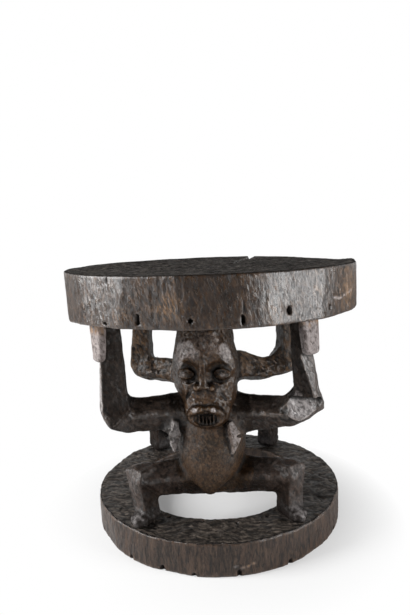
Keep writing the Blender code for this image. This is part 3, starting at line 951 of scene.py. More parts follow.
def rubbed_flats():
    """Middle, direction, reach and painted highlight share of the rubbed cuts on the front figure's limbs.
    """
    flats = [(np.array(ELBOW_FLAT), facing(*ELBOW_FLAT_TURN), *ELBOW_RUB_AND_HIGHLIGHT)]
    for side in SIDES:
        flats.append((*knee_flat(side), *KNEE_RUB_AND_HIGHLIGHT))
        point, turn, slope, _ = FOREARM_CUT[side]
        middle = np.array((point[0] + side * FOREARM_RUB_ASIDE, point[1], FOREARM_RUB_HEIGHT))
        flats.append((middle, facing(turn, slope), FOREARM_RUB_REACH, FOREARM_HIGHLIGHT[side]))
        toe = sided(ANKLE, side) + facing(side * FOOT_SPLAY, 0) * TOE_DISTANCE
        flats.append((toe, facing(side * TOE_TURN[0], TOE_TURN[1]), *TOE_RUB_AND_HIGHLIGHT))
    return flats


def flat_share(points, normals, middle, direction, reach):
    """Share by which each point lies on a flat cut."""
    near = np.clip(4.0 - 4.0 * np.linalg.norm(points - middle, axis=1) / reach, 0.0, 1.0)
    return risen(normals @ direction, 0.86, 0.10) * near


def marks_depth(points, faces):
    """Share of their depth that the tool marks keep: they are shallow on the rubbed flats."""
    normals = vertex_normals(points, faces)
    on_flats = [flat_share(points, normals, *flat[:3]) for flat in rubbed_flats()]
    calm = np.max(on_flats, axis=0)[:, None]
    for _ in range(CALM_SPREAD):
        calm = neighbour_mean(calm, faces)
    return 1.0 - FLAT_CALM * calm[:, 0]


def open_share(name, points, normals, back):
    """Share by which each point is open to hands and out of painted shade, after how squarely it faces along
    the line from the stool's axis; front forearms only count faces turned out.
    """
    outward = points[:, :2] / np.maximum(np.hypot(points[:, 0], points[:, 1]), 1e-6)[:, None]
    outlook = np.sum(normals[:, :2] * outward, axis=1)
    share = np.maximum(np.abs(outlook), LEAST_OPEN)
    if "forearm" in name and not back:
        share = np.maximum(outlook, 0.0)
    if "upper" in name or "thigh" in name:
        least = RIGHT_ARM_OPEN if name == "right_upper_arm" else LIMB_OPEN
        share = np.full(len(points), BACK_LIMB_OPEN) if back else np.maximum(share, least)
    return share * RIGHT_HAND_OPEN if name == "right_hand" else share


def face_glints(points, normals):
    """Shares by which each point lies in the painted highlights of the face."""
    to_front = np.clip(-2.0 * normals[:, 1], 0.0, 1.0)
    glints = []
    for x, height, reach, share in FACE_GLINTS:
        away = np.hypot(points[:, 0] - x, points[:, 2] - CHIN - height) / reach
        glints.append(share * to_front * np.clip(2.0 - 2.0 * away, 0.0, 1.0))
    return glints


def breast_shares(points, normals):
    """Shares of painted highlight at each point on the breasts."""
    shares = []
    for side, (_, _, _, pale_and_highlight) in BREASTS.items():
        on_breast = np.clip(1.5 - breast_field(twisted(points.T, TORSO_TWIST), side) / 0.0012, 0.0, 1.0)
        aimed = np.clip(normals @ facing(side * BREAST_TURN + TORSO_TWIST, 0), 0.0, 1.0)
        shares.append(on_breast * pale_and_highlight * (0.35 + 0.65 * aimed))
    return shares


def pale_and_highlight_share(name, points, normals, back):
    """Share by which each point is painted pale: painted highlights on the face, breasts and cuts, partly
    painted highlight on the hands.
    """
    flats = rubbed_flats()
    spots = []
    if name == "head" and not back:
        flats += forehead_flats()
        spots = face_glints(points, normals)
    if name == "torso":
        spots = breast_shares(points, normals)
    spots += [share * flat_share(points, normals, *flat) for *flat, share in flats]
    return np.maximum(np.max(spots, axis=0), HAND_PALE_AND_HIGHLIGHT.get(name, 0.0))


def figure_shares(name, points, faces, back):
    """Shares by which each point is handled and out of painted shade, pale with painted highlights, and tan.
    """
    normals = vertex_normals(points, faces)
    tan = risen(points[:, 2], *HAND_TAN) * ("hand" in name)
    if back and "arm" in name:
        tan = np.full(len(points), BACK_ARM_TAN)
    return {
        "open": open_share(name, points, normals, back),
        "pale_and_highlight": pale_and_highlight_share(name, points, normals, back),
        "tan": tan,
    }


def figure_parts():
    """Rows of name, slot, body, region, side, grid corners, cell, grain axis and tool marks."""
    axis_y = -FIGURE_OFFSET
    parts = [
        ("head", "head_wood", head_body, no_border, 0, (-0.061, axis_y - 0.068, CHIN - 0.004),
         (0.056, axis_y + 0.040, 0.3235), FINE_CELL, UP, HEAD_MARKS),
        ("torso", "torso_wood", torso_body, torso_region, 0, (-0.062, axis_y - 0.068, 0.062),
         (0.062, axis_y + 0.050, 0.2200), COARSE_CELL, UP, TORSO_MARKS),
    ]
    for side, label in SIDES.items():
        arm_axis = sided(ELBOW, side) - sided(SHOULDER, side)
        thigh_axis = sided(KNEE, side) - sided(HIP, side)
        rows = (
            ("upper_arm", "arm_wood", upper_arm_body, upper_arm_region, (0.042, -0.142, 0.155),
             (0.164, -0.044, 0.222), COARSE_CELL, arm_axis, LIMB_MARKS),
            ("forearm", "arm_wood", forearm_body, forearm_region, (0.092, -0.142, 0.160),
             (0.164, -0.072, 0.3235), COARSE_CELL, UP, LIMB_MARKS),
            ("hand", "hand_wood", hand_body, no_border, (0.110, -0.142, 0.254),
             (0.164, -0.090, 0.3235), FINE_CELL, UP, HAND_MARKS),
            ("thigh", "leg_wood", thigh_body, thigh_region, (0.022, -0.145, 0.062),
             (0.130, -0.050, 0.140), COARSE_CELL, thigh_axis, LIMB_MARKS),
            ("shin", "leg_wood", shin_body, shin_region, (0.070, -0.150, 0.050),
             (0.130, -0.090, 0.138), COARSE_CELL, UP, LIMB_MARKS),
            ("foot", "foot_wood", foot_body, foot_region, (0.070, -0.160, 0.044),
             (0.134, -0.090, 0.076), FINE_CELL, (side, -1, 0), HAND_MARKS),
        )
        for name, slot, body, region, low, high, *rest in rows:
            left, right = sorted((side * low[0], side * high[0]))
            corners = (left, *low[1:]), (right, *high[1:])
            parts.append((label + "_" + name, slot, body, region, side, *corners, *rest))
    return parts


def leaned(points, lean):
    share = (points[:, 2] - BASE_TOP) / (SEAT_UNDERSIDE - BASE_TOP)
    shifted = points.copy()
    shifted[:, 0] += lean * share
    return shifted


def back_arms_raised(points):
    """The back figure's arms are higher than the front one's, and it is slimmer and a little aside."""
    x = points[:, 0]
    z = points[:, 2]
    up = eased(z, *RISE_FROM) * (1.0 - eased(z, *RISE_TO))
    side = np.sign(x)
    inner = side * x - BACK_FOREARM_MIDDLE
    slim = eased(z, *SLIM_HEIGHTS) * eased(np.abs(x), *SLIM_ASIDE)
    shoulder = eased(x, *SHOULDER_FROM) * (1.0 - eased(x, *SHOULDER_TO))
    shoulder *= 0.5 + 0.5 * eased(z, *SHOULDER_HEIGHTS)
    chest = eased(z, *CHEST_HEIGHTS)
    raised = points.copy()
    raised[:, 2] += (BACK_ARM_RISE + BACK_SHOULDER_RISE * shoulder) * up
    raised[:, 0] -= side * slim * (inner * BACK_FOREARM_SLIMMER + BACK_FOREARM_INWARD)
    raised[:, 0] += BACK_LEGS_SHIFT * (1.0 - chest)
    raised[:, 0] += BACK_CHEST_SHIFT * chest * (1.0 - eased(np.abs(x), *CHEST_ASIDE))
    return raised


def front_place(name, points):
    if name == "head":
        points = np.column_stack(twisted(points.T, -HEAD_TWIST))
    return leaned(points, FRONT_LEAN)


def back_place(name, points):
    if name == "head":
        return leaned(points * np.array((BACK_HEAD_WIDTH, -1.0, 1.0)), BACK_HEAD_LEAN)
    return leaned(back_arms_raised(points) * MIRROR, BACK_LEAN)


def back_node(name):
    """The back figure mirrors the front one, so its left and right change places."""
    swapped = {"left": "right", "right": "left"}
    first, *rest = name.split("_", 1)
    return "_".join(("back", swapped.get(first, first), *rest))


def build_figures(materials):
    for name, slot, body, region, side, low, high, cell, axis, marks in figure_parts():
        points, quads = meshed(lambda at: parted(body(at, side), region(at, side)), low, high, cell)
        border = np.clip(1.0 + region(tuple(points.T), side) / BORDER_FADE, 0.0, 1.0)
        depth = marks_depth(points, quads)
        rubbing = RUBBING.get(name.split("_")[-1], 1.0)
        front = ("front_" + name, front_place(name, points), quads, axis, FRONT_SEED, False)
        back = (back_node(name), back_place(name, points), quads[:, ::-1], axis * MIRROR, BACK_SEED, True)
        for node, placed, faces, grain, seed, is_back in (front, back):
            carved = tooled(placed, faces, grain, marks, border, depth, seed)
            shares = figure_shares(name, points, quads, is_back)
            new_piece("visual_" + node, carved, faces, node, materials[slot], shares, rubbing)


# The seat
SEAT_HEIGHT = SEAT_TOP - SEAT_UNDERSIDE
SEAT_GRID = 180
SEAT_ROWS = 40
SEAT_EDGE = 0.0035
SEAT_RUBBING = 0.3
# Radius share from which a point is on a rim, and the depth of a hole from which it is painted fully dark as
# shade
RIM_SHARE = 0.999
DARK_DEPTH = 0.002
# Azimuth of the seat's flat facets and how deep they lie below its radius
SEAT_FACETS = (
    (-84, 0.0000), (-61, 0.0012), (-40, 0.0030), (-20, 0.0030), (1, 0.0020), (28.5, 0.0034), (52, 0.0012),
    (78, 0.0000), (104, 0.0012), (127, 0.0022), (150, 0.0014), (171, 0.0026), (193, 0.0012), (216, 0.0022),
    (238, 0.0010), (258, 0.0006),
)
# Azimuth, height, half-width in degrees and half-height of the seat's yellow-brown patches
SEAT_PATCHES = (
    (-30.0, 0.336, 2.2, 0.008), (37.5, 0.354, 2.2, 0.006), (-14.0, 0.345, 5.0, 0.014),
    (20.0, 0.340, 3.0, 0.020), (58.0, 0.350, 10.0, 0.024), (150.0, 0.350, 8.0, 0.020),
    (215.0, 0.345, 9.0, 0.018), (54.0, 0.3750, 5.0, 0.004),
)
# Azimuth and height of the points of the light scratch on the seat's right end, and its half-width
SCRATCH = ((45.0, 0.3420), (51.0, 0.3395), (61.0, 0.3465))
SCRATCH_HALF = 0.0011
# Azimuth, height, half-width in degrees, half-height in millimetres and depth of the holes in the rim
SEAT_HOLES = (
    (-37.8, 0.3235, 0.75, 1.9, 0.006), (-24.3, 0.3300, 0.60, 6.3, 0.009), (-6.6, 0.3296, 0.68, 2.5, 0.009),
    (9.6, 0.3290, 0.52, 5.4, 0.010), (9.8, 0.3440, 0.22, 11.0, 0.003), (25.7, 0.3342, 0.70, 4.4, 0.009),
    (43.2, 0.3317, 0.58, 2.9, 0.007), (-36.4, 0.3760, 0.40, 4.5, 0.002), (112.0, 0.3300, 0.90, 5.0, 0.008),
    (151.0, 0.3310, 0.80, 3.5, 0.008), (197.0, 0.3300, 0.80, 6.0, 0.009), (236.0, 0.3290, 0.90, 3.5, 0.008),
)
# The drying crack runs from the rim inwards; taper and sag are at the seat's left end: azimuth, spread in
# degrees and size
CRACK_START = (0.0765, 0.1945)
CRACK_END = (0.0330, 0.0500)
SEAT_TAPER = (-76.0, 14.0, 0.0028)
SEAT_SAG = (-77.0, 19.0, 0.0070)


def disc_grid(count):
    """Points of the unit disc on a square grid, and the order of the points on its rim."""
    steps = np.linspace(-1.0, 1.0, count + 1)
    a, b = np.meshgrid(steps, steps, indexing="ij")
    wide = np.abs(a) > np.abs(b)
    radius = np.where(wide, a, b)
    safe_a = np.where(np.abs(a) < 1e-9, 1.0, a)
    safe_b = np.where(np.abs(b) < 1e-9, 1.0, b)
    turn = np.where(wide, math.pi / 4 * b / safe_a, math.pi / 2 - math.pi / 4 * a / safe_b)
    disc = np.stack((radius * np.cos(turn), radius * np.sin(turn)), axis=2).reshape(-1, 2)
    side = np.arange(count)
    rim = np.concatenate((side * (count + 1) + 0, count * (count + 1) + side,
                          (count - side) * (count + 1) + count, count - side))
    index = np.arange((count + 1) ** 2).reshape(count + 1, count + 1)
    quads = np.stack((index[:-1, :-1], index[1:, :-1], index[1:, 1:], index[:-1, 1:]), axis=2).reshape(-1, 4)
    return disc, rim, quads


def azimuth(points):
    """Degrees round the stool from the front, towards the right hand side."""
    return np.degrees(np.arctan2(points[:, 0], -points[:, 1]))


def turn_between(azimuths, target):
    return (azimuths - target + 180.0) % 360.0 - 180.0


def swell(azimuths, middle, spread, size=1.0):
    """A size at an azimuth, fading to 0 over a spread in degrees."""
    return size * np.exp(-((turn_between(azimuths, middle) / spread) ** 2))


def faceted(azimuths, heights, facets, radius):
    """Radius of a rim hewn into flat facets, each at an azimuth with a depth below the radius."""
    result = np.full(len(azimuths), radius + 0.02)
    for index, (middle, depth) in enumerate(facets):
        away = np.radians(turn_between(azimuths, middle))
        flat = (radius - depth) / np.cos(np.clip(away, -1.2, 1.2))
        flat = flat + 0.02 * (heights - 0.5) * math.sin(index * 2.4) * 0.10
        result = smooth_min(result, flat, 0.0012)
    return np.minimum(result, radius + 0.0002)


def seat_top_drop(points):
    """How far the seat's upper face lies below its highest level."""
    share = np.hypot(points[:, 0], points[:, 1]) / SEAT_RADIUS
    turn = azimuth(points)
    dish = 0.0045 * (1.0 - share ** 4)
    raised = swell(turn, 86.0, 12.0) * risen(share, 0.84, 0.16)
    dip = swell(turn, 108.0, 34.0, 0.0045) * share ** 3
    level = dip + 0.0002 * (smooth_noise(points, 0.05, 5) + 1.0)
    cuts = scoops(directed(points, (0.95, 0.3, 0.0)), (0.011, 0.011, 0.034), 17)
    fine = scoops(directed(points, (0.7, -0.7, 0.0)), (0.0065, 0.0065, 0.016), 23)
    carving = (0.0016 * cuts + 0.0008 * fine) * (1.0 - 0.85 * share ** 8)
    drop = dish * 0.7 + level * (1.0 - raised) + carving
    return np.maximum(drop + crack_depth(points), 0.0)


def crack_depth(points):
    """Depth of the drying crack in the seat's upper face."""
    start = np.array(CRACK_START)
    run = np.array(CRACK_END) - start
    flat = points[:, :2] - start
    t = np.clip(flat @ run / (run @ run), 0.0, 1.0)
    wander = 0.0030 * np.sin(t * 9.0) + 0.0012 * np.sin(t * 31.0)
    side = np.array((-run[1], run[0])) / np.hypot(*run)
    beyond = np.hypot(*(flat - t[:, None] * run).T) - np.abs(flat @ side)
    across = np.abs(flat @ side - wander) + beyond
    width = 0.0042 * (1.0 - t) ** 3 + 0.0014
    return np.clip(1.0 - across / width, 0.0, 1.0) * (0.0130 * (1.0 - t) + 0.0050)


def hole_depth(azimuths, heights, holes):
    depths = np.zeros(len(azimuths))
    for place, height, half_turn, half_height, depth in holes:
        q = np.hypot(turn_between(azimuths, place) / half_turn, (heights - height) * 1000.0 / half_height)
        depths += depth * np.clip(1.15 - q, 0.0, 1.0) ** 0.6
    return depths


def rim_carving(points, azimuths):
    """How far a rim's surface lies inside its facets: fibres and tool strokes."""
    spread = np.stack((np.radians(azimuths) * SEAT_RADIUS, np.zeros(len(points)), points[:, 2]), axis=1)
    fibres = rough_noise(spread, (0.0045, 1.0, 0.045), 3, 41)
    slanted = spread @ np.array(((1.0, 0.0, -0.35), (0.0, 1.0, 0.0), (0.55, 0.0, 1.0))).T
    strokes = scoops(slanted, (0.0085, 1.0, 0.030), 47)
    return 0.00025 * (fibres + 0.6) + 0.0006 * strokes


def seat_shares(world, turns, share, height, dark):
    """Shares by which the seat is light, with painted shade in holes and crack and darker along its top
    edge, pale along its scratch, and tan; dark is 1 in holes and crack.
    """
    on_rim = share > RIM_SHARE
    patch = np.zeros(len(world))
    for place, middle, half_turn, half_height in SEAT_PATCHES:
        away = np.hypot(turn_between(turns, place) / half_turn, (world[:, 2] - middle) / half_height)
        patch = np.maximum(patch, 0.7 * np.clip(1.4 - away, 0.0, 1.0))
    places, heights = zip(*SCRATCH)
    within = (turns > places[0]) & (turns < places[-1])
    off = (world[:, 2] - np.interp(turns, places, heights)) / SCRATCH_HALF
    top_edge = risen(share, 0.975, 0.02) * risen(height, 0.955, 0.03)
    lightness = (1.0 - dark) * (1.0 - 0.45 * top_edge)
    return {"open": lightness, "pale_and_highlight": within * on_rim * np.exp(-off * off), "tan": patch * on_rim}


def seat_net():
    """Unit place and height share of the points of upper face, lower face and rim, and the faces."""
    disc, rim, quads = disc_grid(SEAT_GRID)
    count = len(rim)
    total = len(disc)
    even = np.linspace(0.0, 1.0, SEAT_ROWS + 1)[1:-1]
    heights = 0.5 - 0.5 * np.cos(np.linspace(0.0, math.pi, SEAT_ROWS + 1)[1:-1])
    heights = 0.6 * heights + 0.4 * even
    rows = [np.column_stack((disc[rim], np.full(count, height))) for height in heights[::-1]]
    upper_face = np.column_stack((disc, np.ones(total)))
    lower_face = np.column_stack((disc, np.zeros(total)))
    loops = [2 * total + count * row + np.arange(count) for row in range(len(rows))]
    loops = [rim, *loops, total + rim]
    faces = [quads, quads[:, ::-1] + total]
    for upper, lower in zip(loops[:-1], loops[1:]):
        faces.append(np.stack((upper, lower, np.roll(lower, -1), np.roll(upper, -1)), axis=1))
    return np.concatenate((upper_face, lower_face, *rows)), np.concatenate(faces)


def hewn_rim(world, height, share, facets, radius, holes):
    """Radius of a rim with its facets, carving and holes, and the depth of the holes."""
    turns = azimuth(world)
    on_rim = share > RIM_SHARE
    depths = hole_depth(turns, world[:, 2], holes) * on_rim
    return faceted(turns, height, facets, radius) - rim_carving(world, turns) * on_rim - depths, depths


def seat_edges(height):
    """How far the seat's soft edges draw its rim in."""
    reach = SEAT_HEIGHT * np.minimum(height, 1.0 - height)
    shy = np.clip(1.0 - reach / SEAT_EDGE, 0.0, 1.0)
    softness = np.where(height > 0.5, 0.55, 0.25)
    return SEAT_EDGE * (1.0 - np.sqrt(np.clip(1.0 - shy * shy, 0.0, 1.0))) * softness


def build_seat(materials):
    shape, faces = seat_net()
    height = shape[:, 2]
    world = np.column_stack((shape[:, :2] * SEAT_RADIUS, SEAT_UNDERSIDE + height * SEAT_HEIGHT))
    turns = azimuth(world)
    share = np.hypot(shape[:, 0], shape[:, 1])
    radius, holes = hewn_rim(world, height, share, SEAT_FACETS, SEAT_RADIUS, SEAT_HOLES)
    radius -= swell(turns, *SEAT_TAPER) * (1.0 - height)
    radius -= seat_edges(height)
    points = np.column_stack((shape[:, :2] * radius[:, None], world[:, 2]))
    points[:, 1] *= SEAT_SQUASH
    crack = crack_depth(points) * (height > 0.9)
    points[:, 2] -= seat_top_drop(points) * risen(height, 0.55, 0.45) ** 2
    low_side = np.clip(1.0 - height / 0.2, 0.0, 1.0)
    points[:, 2] -= swell(turns, *SEAT_SAG) * risen(share, 0.80, 0.15) * (1.0 - height) ** 2
    points[:, 2] += low_side * 0.0005 * scoops(points, (0.014, 0.014, 0.014), 53)
    shares = seat_shares(world, turns, share, height, np.clip((holes + crack) / DARK_DEPTH, 0.0, 1.0))
    new_piece("visual_seat", points, faces, "seat", materials["seat_wood"], shares,
              SEAT_RUBBING)


# The base ring
BASE_TURNS = 620
BASE_SHIFT = 0.0008
BASE_HOLE_RADIUS = 0.1225
BASE_WIDTH = BASE_RADIUS - BASE_HOLE_RADIUS
BASE_RUBBING = 0.55
# The ring's edges are rounded within a reach, by a size
BASE_EDGE = 0.004
BASE_ROUNDING = 0.0022
# Azimuth of the base's flat facets and how deep they lie below its radius
BASE_FACETS = (
    (-82, 0.0004), (-60, 0.0012), (-41, 0.0004), (-20, 0.0014), (2, 0.0004), (22, 0.0006), (43, 0.0000),
    (66, 0.0004), (90, 0.0000), (113, 0.0008), (136, 0.0004), (158, 0.0012), (181, 0.0008), (203, 0.0014),
    (226, 0.0004), (250, 0.0012),
)
# Azimuth, height, half-width in degrees, half-height in millimetres and depth of the nicks in its lower edge
BASE_NICKS = (
    (-40.5, 0.003, 0.9, 4.5, 0.004), (-24.7, 0.003, 0.9, 5.0, 0.005), (-10.9, 0.002, 0.8, 4.0, 0.004),
    (6.9, 0.004, 0.8, 6.0, 0.004), (28.9, 0.003, 0.9, 4.5, 0.004), (61.0, 0.003, 0.9, 5.0, 0.004),
    (118.0, 0.002, 1.0, 6.0, 0.005), (166.0, 0.003, 0.9, 5.0, 0.004), (214.0, 0.003, 1.1, 5.0, 0.004),
)
# Azimuth and height of the light chips on the base's front
BASE_CHIPS = ((5.6, 0.0150), (8.4, 0.0125), (10.6, 0.0135), (12.6, 0.0160))
# Places of the small round holes in the ring's upper face
BASE_DOTS = (
    (-0.0681, -0.1134), (-0.0217, -0.1276), (0.0234, -0.1341), (0.0646, -0.1192), (0.0500, 0.1250),
    (-0.0400, 0.1270), (-0.1330, 0.0150), (0.1330, -0.0100),
)


def base_outline():
    """Radius share across the ring (0 inside, 1 outside) and height share of each row round its section."""
    outer = [(1.0, h) for h in np.linspace(0.0, 1.0, 32)]
    top = [(s, 1.0) for s in np.linspace(1.0, 0.0, 36)[1:]]
    inner = [(0.0, h) for h in np.linspace(1.0, 0.0, 24)[1:]]
    under = [(s, 0.0) for s in np.linspace(0.0, 1.0, 12)[1:-1]]
    return np.array(outer + top + inner + under)


def base_faces(rows, count):
    index = np.arange(rows * count).reshape(rows, count)
    after = np.roll(index, -1, axis=0)
    corners = (index, np.roll(index, -1, axis=1), np.roll(after, -1, axis=1), after)
    return np.stack(corners, axis=2).reshape(-1, 4)


def base_top_drop(points):
    """How far tool cuts and small round holes lower the ring's upper face."""
    cuts = scoops(directed(points, (0.9, 0.4, 0.0)), (0.010, 0.010, 0.022), 71)
    fine = scoops(directed(points, (0.3, -0.95, 0.0)), (0.006, 0.006, 0.014), 73)
    drop = 0.0018 * cuts + 0.0010 * fine + 0.0003 * (smooth_noise(points, 0.04, 79) + 1.0)
    for x, y in BASE_DOTS:
        drop += 0.0050 * np.clip(1.2 - np.hypot(points[:, 0] - x, points[:, 1] - y) / 0.0030, 0.0, 1.0)
    return drop


def base_shares(world, share, nicks):
    """Shares by which the base is out of the painted shade in its nicks, and pale and tan in its chips."""
    turns = azimuth(world)
    chips = np.zeros(len(world))
    for place, middle in BASE_CHIPS:
        away = np.hypot(turn_between(turns, place) / 0.8, (world[:, 2] - middle) / 0.0014)
        chips = np.maximum(chips, np.clip(1.5 - away, 0.0, 1.0) * (share > RIM_SHARE))
    return {"open": 1.0 - np.clip(nicks / DARK_DEPTH, 0.0, 1.0), "pale_and_highlight": 0.35 * chips, "tan": chips}


def build_base(materials):
    count = BASE_TURNS
    outline = base_outline()
    share = np.repeat(outline[:, 0], count)
    height = np.repeat(outline[:, 1], count)
    angle = np.tile(np.linspace(0.0, 2 * math.pi, count, endpoint=False), len(outline))
    outward = np.column_stack((np.sin(angle), -np.cos(angle)))
    nominal = BASE_HOLE_RADIUS + BASE_WIDTH * share
    world = np.column_stack((outward * nominal[:, None], height * BASE_TOP))
    outer, nicks = hewn_rim(world, height, share, BASE_FACETS, BASE_RADIUS, BASE_NICKS)
    inner = BASE_HOLE_RADIUS + 0.0016 * smooth_noise(world, 0.045, 61)
    inner = inner + 0.0014 * scoops(world, (0.016, 0.016, 0.030), 67)
    radius = inner + (outer - inner) * share
    gap = np.minimum(np.minimum(share, 1.0 - share) * BASE_WIDTH, BASE_EDGE)
    reach = np.minimum(np.minimum(height, 1.0 - height) * BASE_TOP, BASE_EDGE)
    shy = 1.0 - np.where(reach < gap, gap, reach) / BASE_EDGE
    round_off = BASE_ROUNDING * shy * shy
    radius += round_off * np.where(share > 0.5, -1.0, 1.0) * (reach >= gap)
    points = np.column_stack((outward * radius[:, None], world[:, 2]))
    points[:, 1] *= BASE_SQUASH
    points[:, 0] += BASE_SHIFT
    drop = base_top_drop(points) + round_off * (reach < gap)
    points[:, 2] -= drop * risen(height, 0.6, 0.4) ** 2
    faces = base_faces(len(outline), count)
    shares = base_shares(world, share, nicks)
    new_piece("visual_base_ring", points, faces, "base_ring", materials["base_wood"], shares,
              BASE_RUBBING)


# Materials
class Nodes:
    """Short calls for building the nodes of a material or a world."""

    def __init__(self, owner):
        owner.use_nodes = True
        self.tree = owner.node_tree

    def plug(self, value, socket):
        if isinstance(value, bpy.types.NodeSocket):
            self.tree.links.new(value, socket)
        else:
            socket.default_value = value

    def add(self, kind, output, settings=(), **inputs):
        node = self.tree.nodes.new(kind)
        for key, value in dict(settings).items():
            setattr(node, key, value)
        for key, value in inputs.items():
            self.plug(value, node.inputs[key.replace("_", " ")])
        return node.outputs[output]

    def math(self, operation, a, b, clamp=False):
        node = self.tree.nodes.new("ShaderNodeMath")
        node.operation = operation
        node.use_clamp = clamp
        self.plug(a, node.inputs[0])
        self.plug(b, node.inputs[1])
        return node.outputs[0]

    def times(self, a, b):
        return self.math("MULTIPLY", a, b)

    def plus(self, a, b, clamp=False):
        return self.math("ADD", a, b, clamp)

    def minus(self, a, b):
        return self.math("SUBTRACT", a, b)

    def vector(self, operation, output, *inputs):
        node = self.tree.nodes.new("ShaderNodeVectorMath")
        node.operation = operation
        for value, socket in zip(inputs, node.inputs):
            self.plug(value, socket)
        return node.outputs[output]

    def noise(self, where, scale, detail=3.0, roughness=0.55, distortion=0.0):
        return self.add("ShaderNodeTexNoise", 0, Vector=where, Scale=scale, Detail=detail,
                        Roughness=roughness, Distortion=distortion)

    def waves(self, where, scale):
        return self.add("ShaderNodeTexNoise", "Color", Vector=where, Scale=scale, Detail=2.0)

    def stretched(self, where, scale):
        return self.add("ShaderNodeMapping", 0, Vector=where, Scale=scale)

    def ramp(self, value, low, high, to_low=0.0, to_high=1.0):
        return self.add("ShaderNodeMapRange", "Result", Value=value, From_Min=low, From_Max=high,
                        To_Min=to_low, To_Max=to_high)

    def mix(self, share, a, b):
        node = self.tree.nodes.new("ShaderNodeMix")
        node.data_type = "RGBA"
        self.plug(share, node.inputs[0])
        self.plug(a, node.inputs[6])
        self.plug(b, node.inputs[7])
        return node.outputs[2]

    def bump(self, height, distance, **inputs):
        return self.add("ShaderNodeBump", "Normal", Strength=1.0, Distance=distance, Height=height, **inputs)


def srgb(red, green, blue):
    def linear(value):
        value = value / 255.0
        return value / 12.92 if value <= 0.04045 else ((value + 0.055) / 1.055) ** 2.4
    return linear(red), linear(green), linear(blue), 1.0


def carved_wood(name, tones, roughness, specular, grain, relief, pattern, cut_size, cut_slope, belly=()):
    """Waxed old hardwood: small tool cuts that tilt each its own way, fibres, worn edges, dirt and pores,
    with painted shade in hollows and sheltered places and painted highlights on pale spots.
    """
    material = bpy.data.materials.new(name)
    n = Nodes(material)
    shader = n.tree.nodes["Principled BSDF"]
    where = n.add("ShaderNodeTexCoord", "Object")
    dark, middle, worn = [srgb(*tone) for tone in tones]
    stretch, turn, wave_scale, wave_height = pattern
    fibres = n.noise(n.stretched(where, stretch), 430.0, 4.0, 0.65, 0.5)
    wavy = n.vector("MULTIPLY_ADD", 0, n.waves(where, wave_scale), (wave_height,) * 3, where)
    slanted = n.stretched(n.add("ShaderNodeMapping", 0, Vector=wavy, Rotation=turn), stretch)
    cell_tone, cut, crease = tool_cuts(n, slanted, 1.0 / cut_size)
    strokes = n.noise(slanted, 210.0, 3.0, 0.60, 0.6)
    blotches = n.noise(where, 30.0, 5.0, 0.65, 0.4)
    specks = n.noise(where, 760.0, 3.0, 0.75)
    edge, open_to, pale_and_highlight, tan = [
        n.add("ShaderNodeAttribute", "Fac", {"attribute_name": key})
        for key in ("edge", "open", "pale_and_highlight", "tan")]
    proud = n.ramp(edge, 0.08, 0.60)
    hollow = n.ramp(edge, -0.05, -0.60)
    high = n.ramp(fibres, 0.50, 0.66)
    low = n.ramp(fibres, 0.48, 0.34)
    # Painted shade: a low share darkens the tone and fades the wear and the gloss
    handling_and_light = n.plus(n.times(n.ramp(open_to, 0.55, 0.92), 0.75), 0.25)
    mottled = n.plus(n.times(blotches, 0.6), n.times(cell_tone, 0.4))
    tone = n.ramp(mottled, 0.36, 0.64)
    colour = n.mix(n.times(tone, handling_and_light), dark, middle)
    rough = 1.0
    if belly:
        smooth = belly_share(n, where)
        rough = n.minus(1.0, n.times(smooth, 0.6))
        colour = n.mix(smooth, colour, n.mix(tone, *[srgb(*shade) for shade in belly]))
    rubbed = n.times(proud, n.ramp(n.noise(where, 80.0), 0.32, 0.60))
    fresh = n.times(n.ramp(strokes, 0.50, 0.70), grain)
    fresh = n.math("MAXIMUM", fresh, n.times(high, 0.7 * grain))
    fresh = n.math("MAXIMUM", fresh, n.times(rubbed, 0.75))
    colour = n.mix(n.times(fresh, handling_and_light), colour, worn)
    # Pale: real scratches and chips, and painted highlights on the figures
    colour = n.mix(n.times(pale_and_highlight, n.ramp(strokes, 0.30, 0.56)), colour, PALE_AND_HIGHLIGHT)
    colour = n.mix(n.times(tan, n.ramp(mottled, 0.40, 0.66)), colour, TAN)
    outside_pale = n.minus(1.0, n.times(pale_and_highlight, 0.8))
    broken = n.times(crease, n.ramp(n.noise(where, 150.0, 2.0), 0.46, 0.60))
    # Darker marks: strokes, fibres, cut borders and specks are the wood's own; hollows get painted shade
    # with dirt, and the least open places painted shade
    for share, strength in (
        (n.ramp(strokes, 0.46, 0.30), n.times(outside_pale, 0.75)),
        (low, n.times(outside_pale, 0.60)),
        (broken, n.times(outside_pale, 0.85)),
        (hollow, 0.85),
        (n.ramp(open_to, 0.12, 0.0), 0.75),
        (n.ramp(specks, 0.54, 0.70), n.times(outside_pale, 0.60)),
    ):
        colour = n.mix(n.times(share, strength), colour, DIRT_AND_SHADE)
    n.plug(colour, shader.inputs["Base Color"])
    gloss = n.plus(n.times(n.ramp(blotches, 0.3, 0.7), 0.10), roughness)
    gloss = n.plus(gloss, n.times(low, 0.25))
    gloss = n.minus(gloss, n.times(high, 0.06))
    gloss = n.plus(gloss, n.times(hollow, 0.30))
    gloss = n.plus(gloss, n.times(n.minus(1.0, rough), 0.22), clamp=True)
    n.plug(gloss, shader.inputs["Roughness"])
    n.plug(n.times(handling_and_light, n.times(rough, specular)), shader.inputs["Specular IOR Level"])
    hewn = n.bump(n.times(cut, rough), cut_slope)
    grainy = n.plus(fibres, n.times(specks, 0.35))
    n.plug(n.bump(grainy, relief, Normal=hewn), shader.inputs["Normal"])
    return material


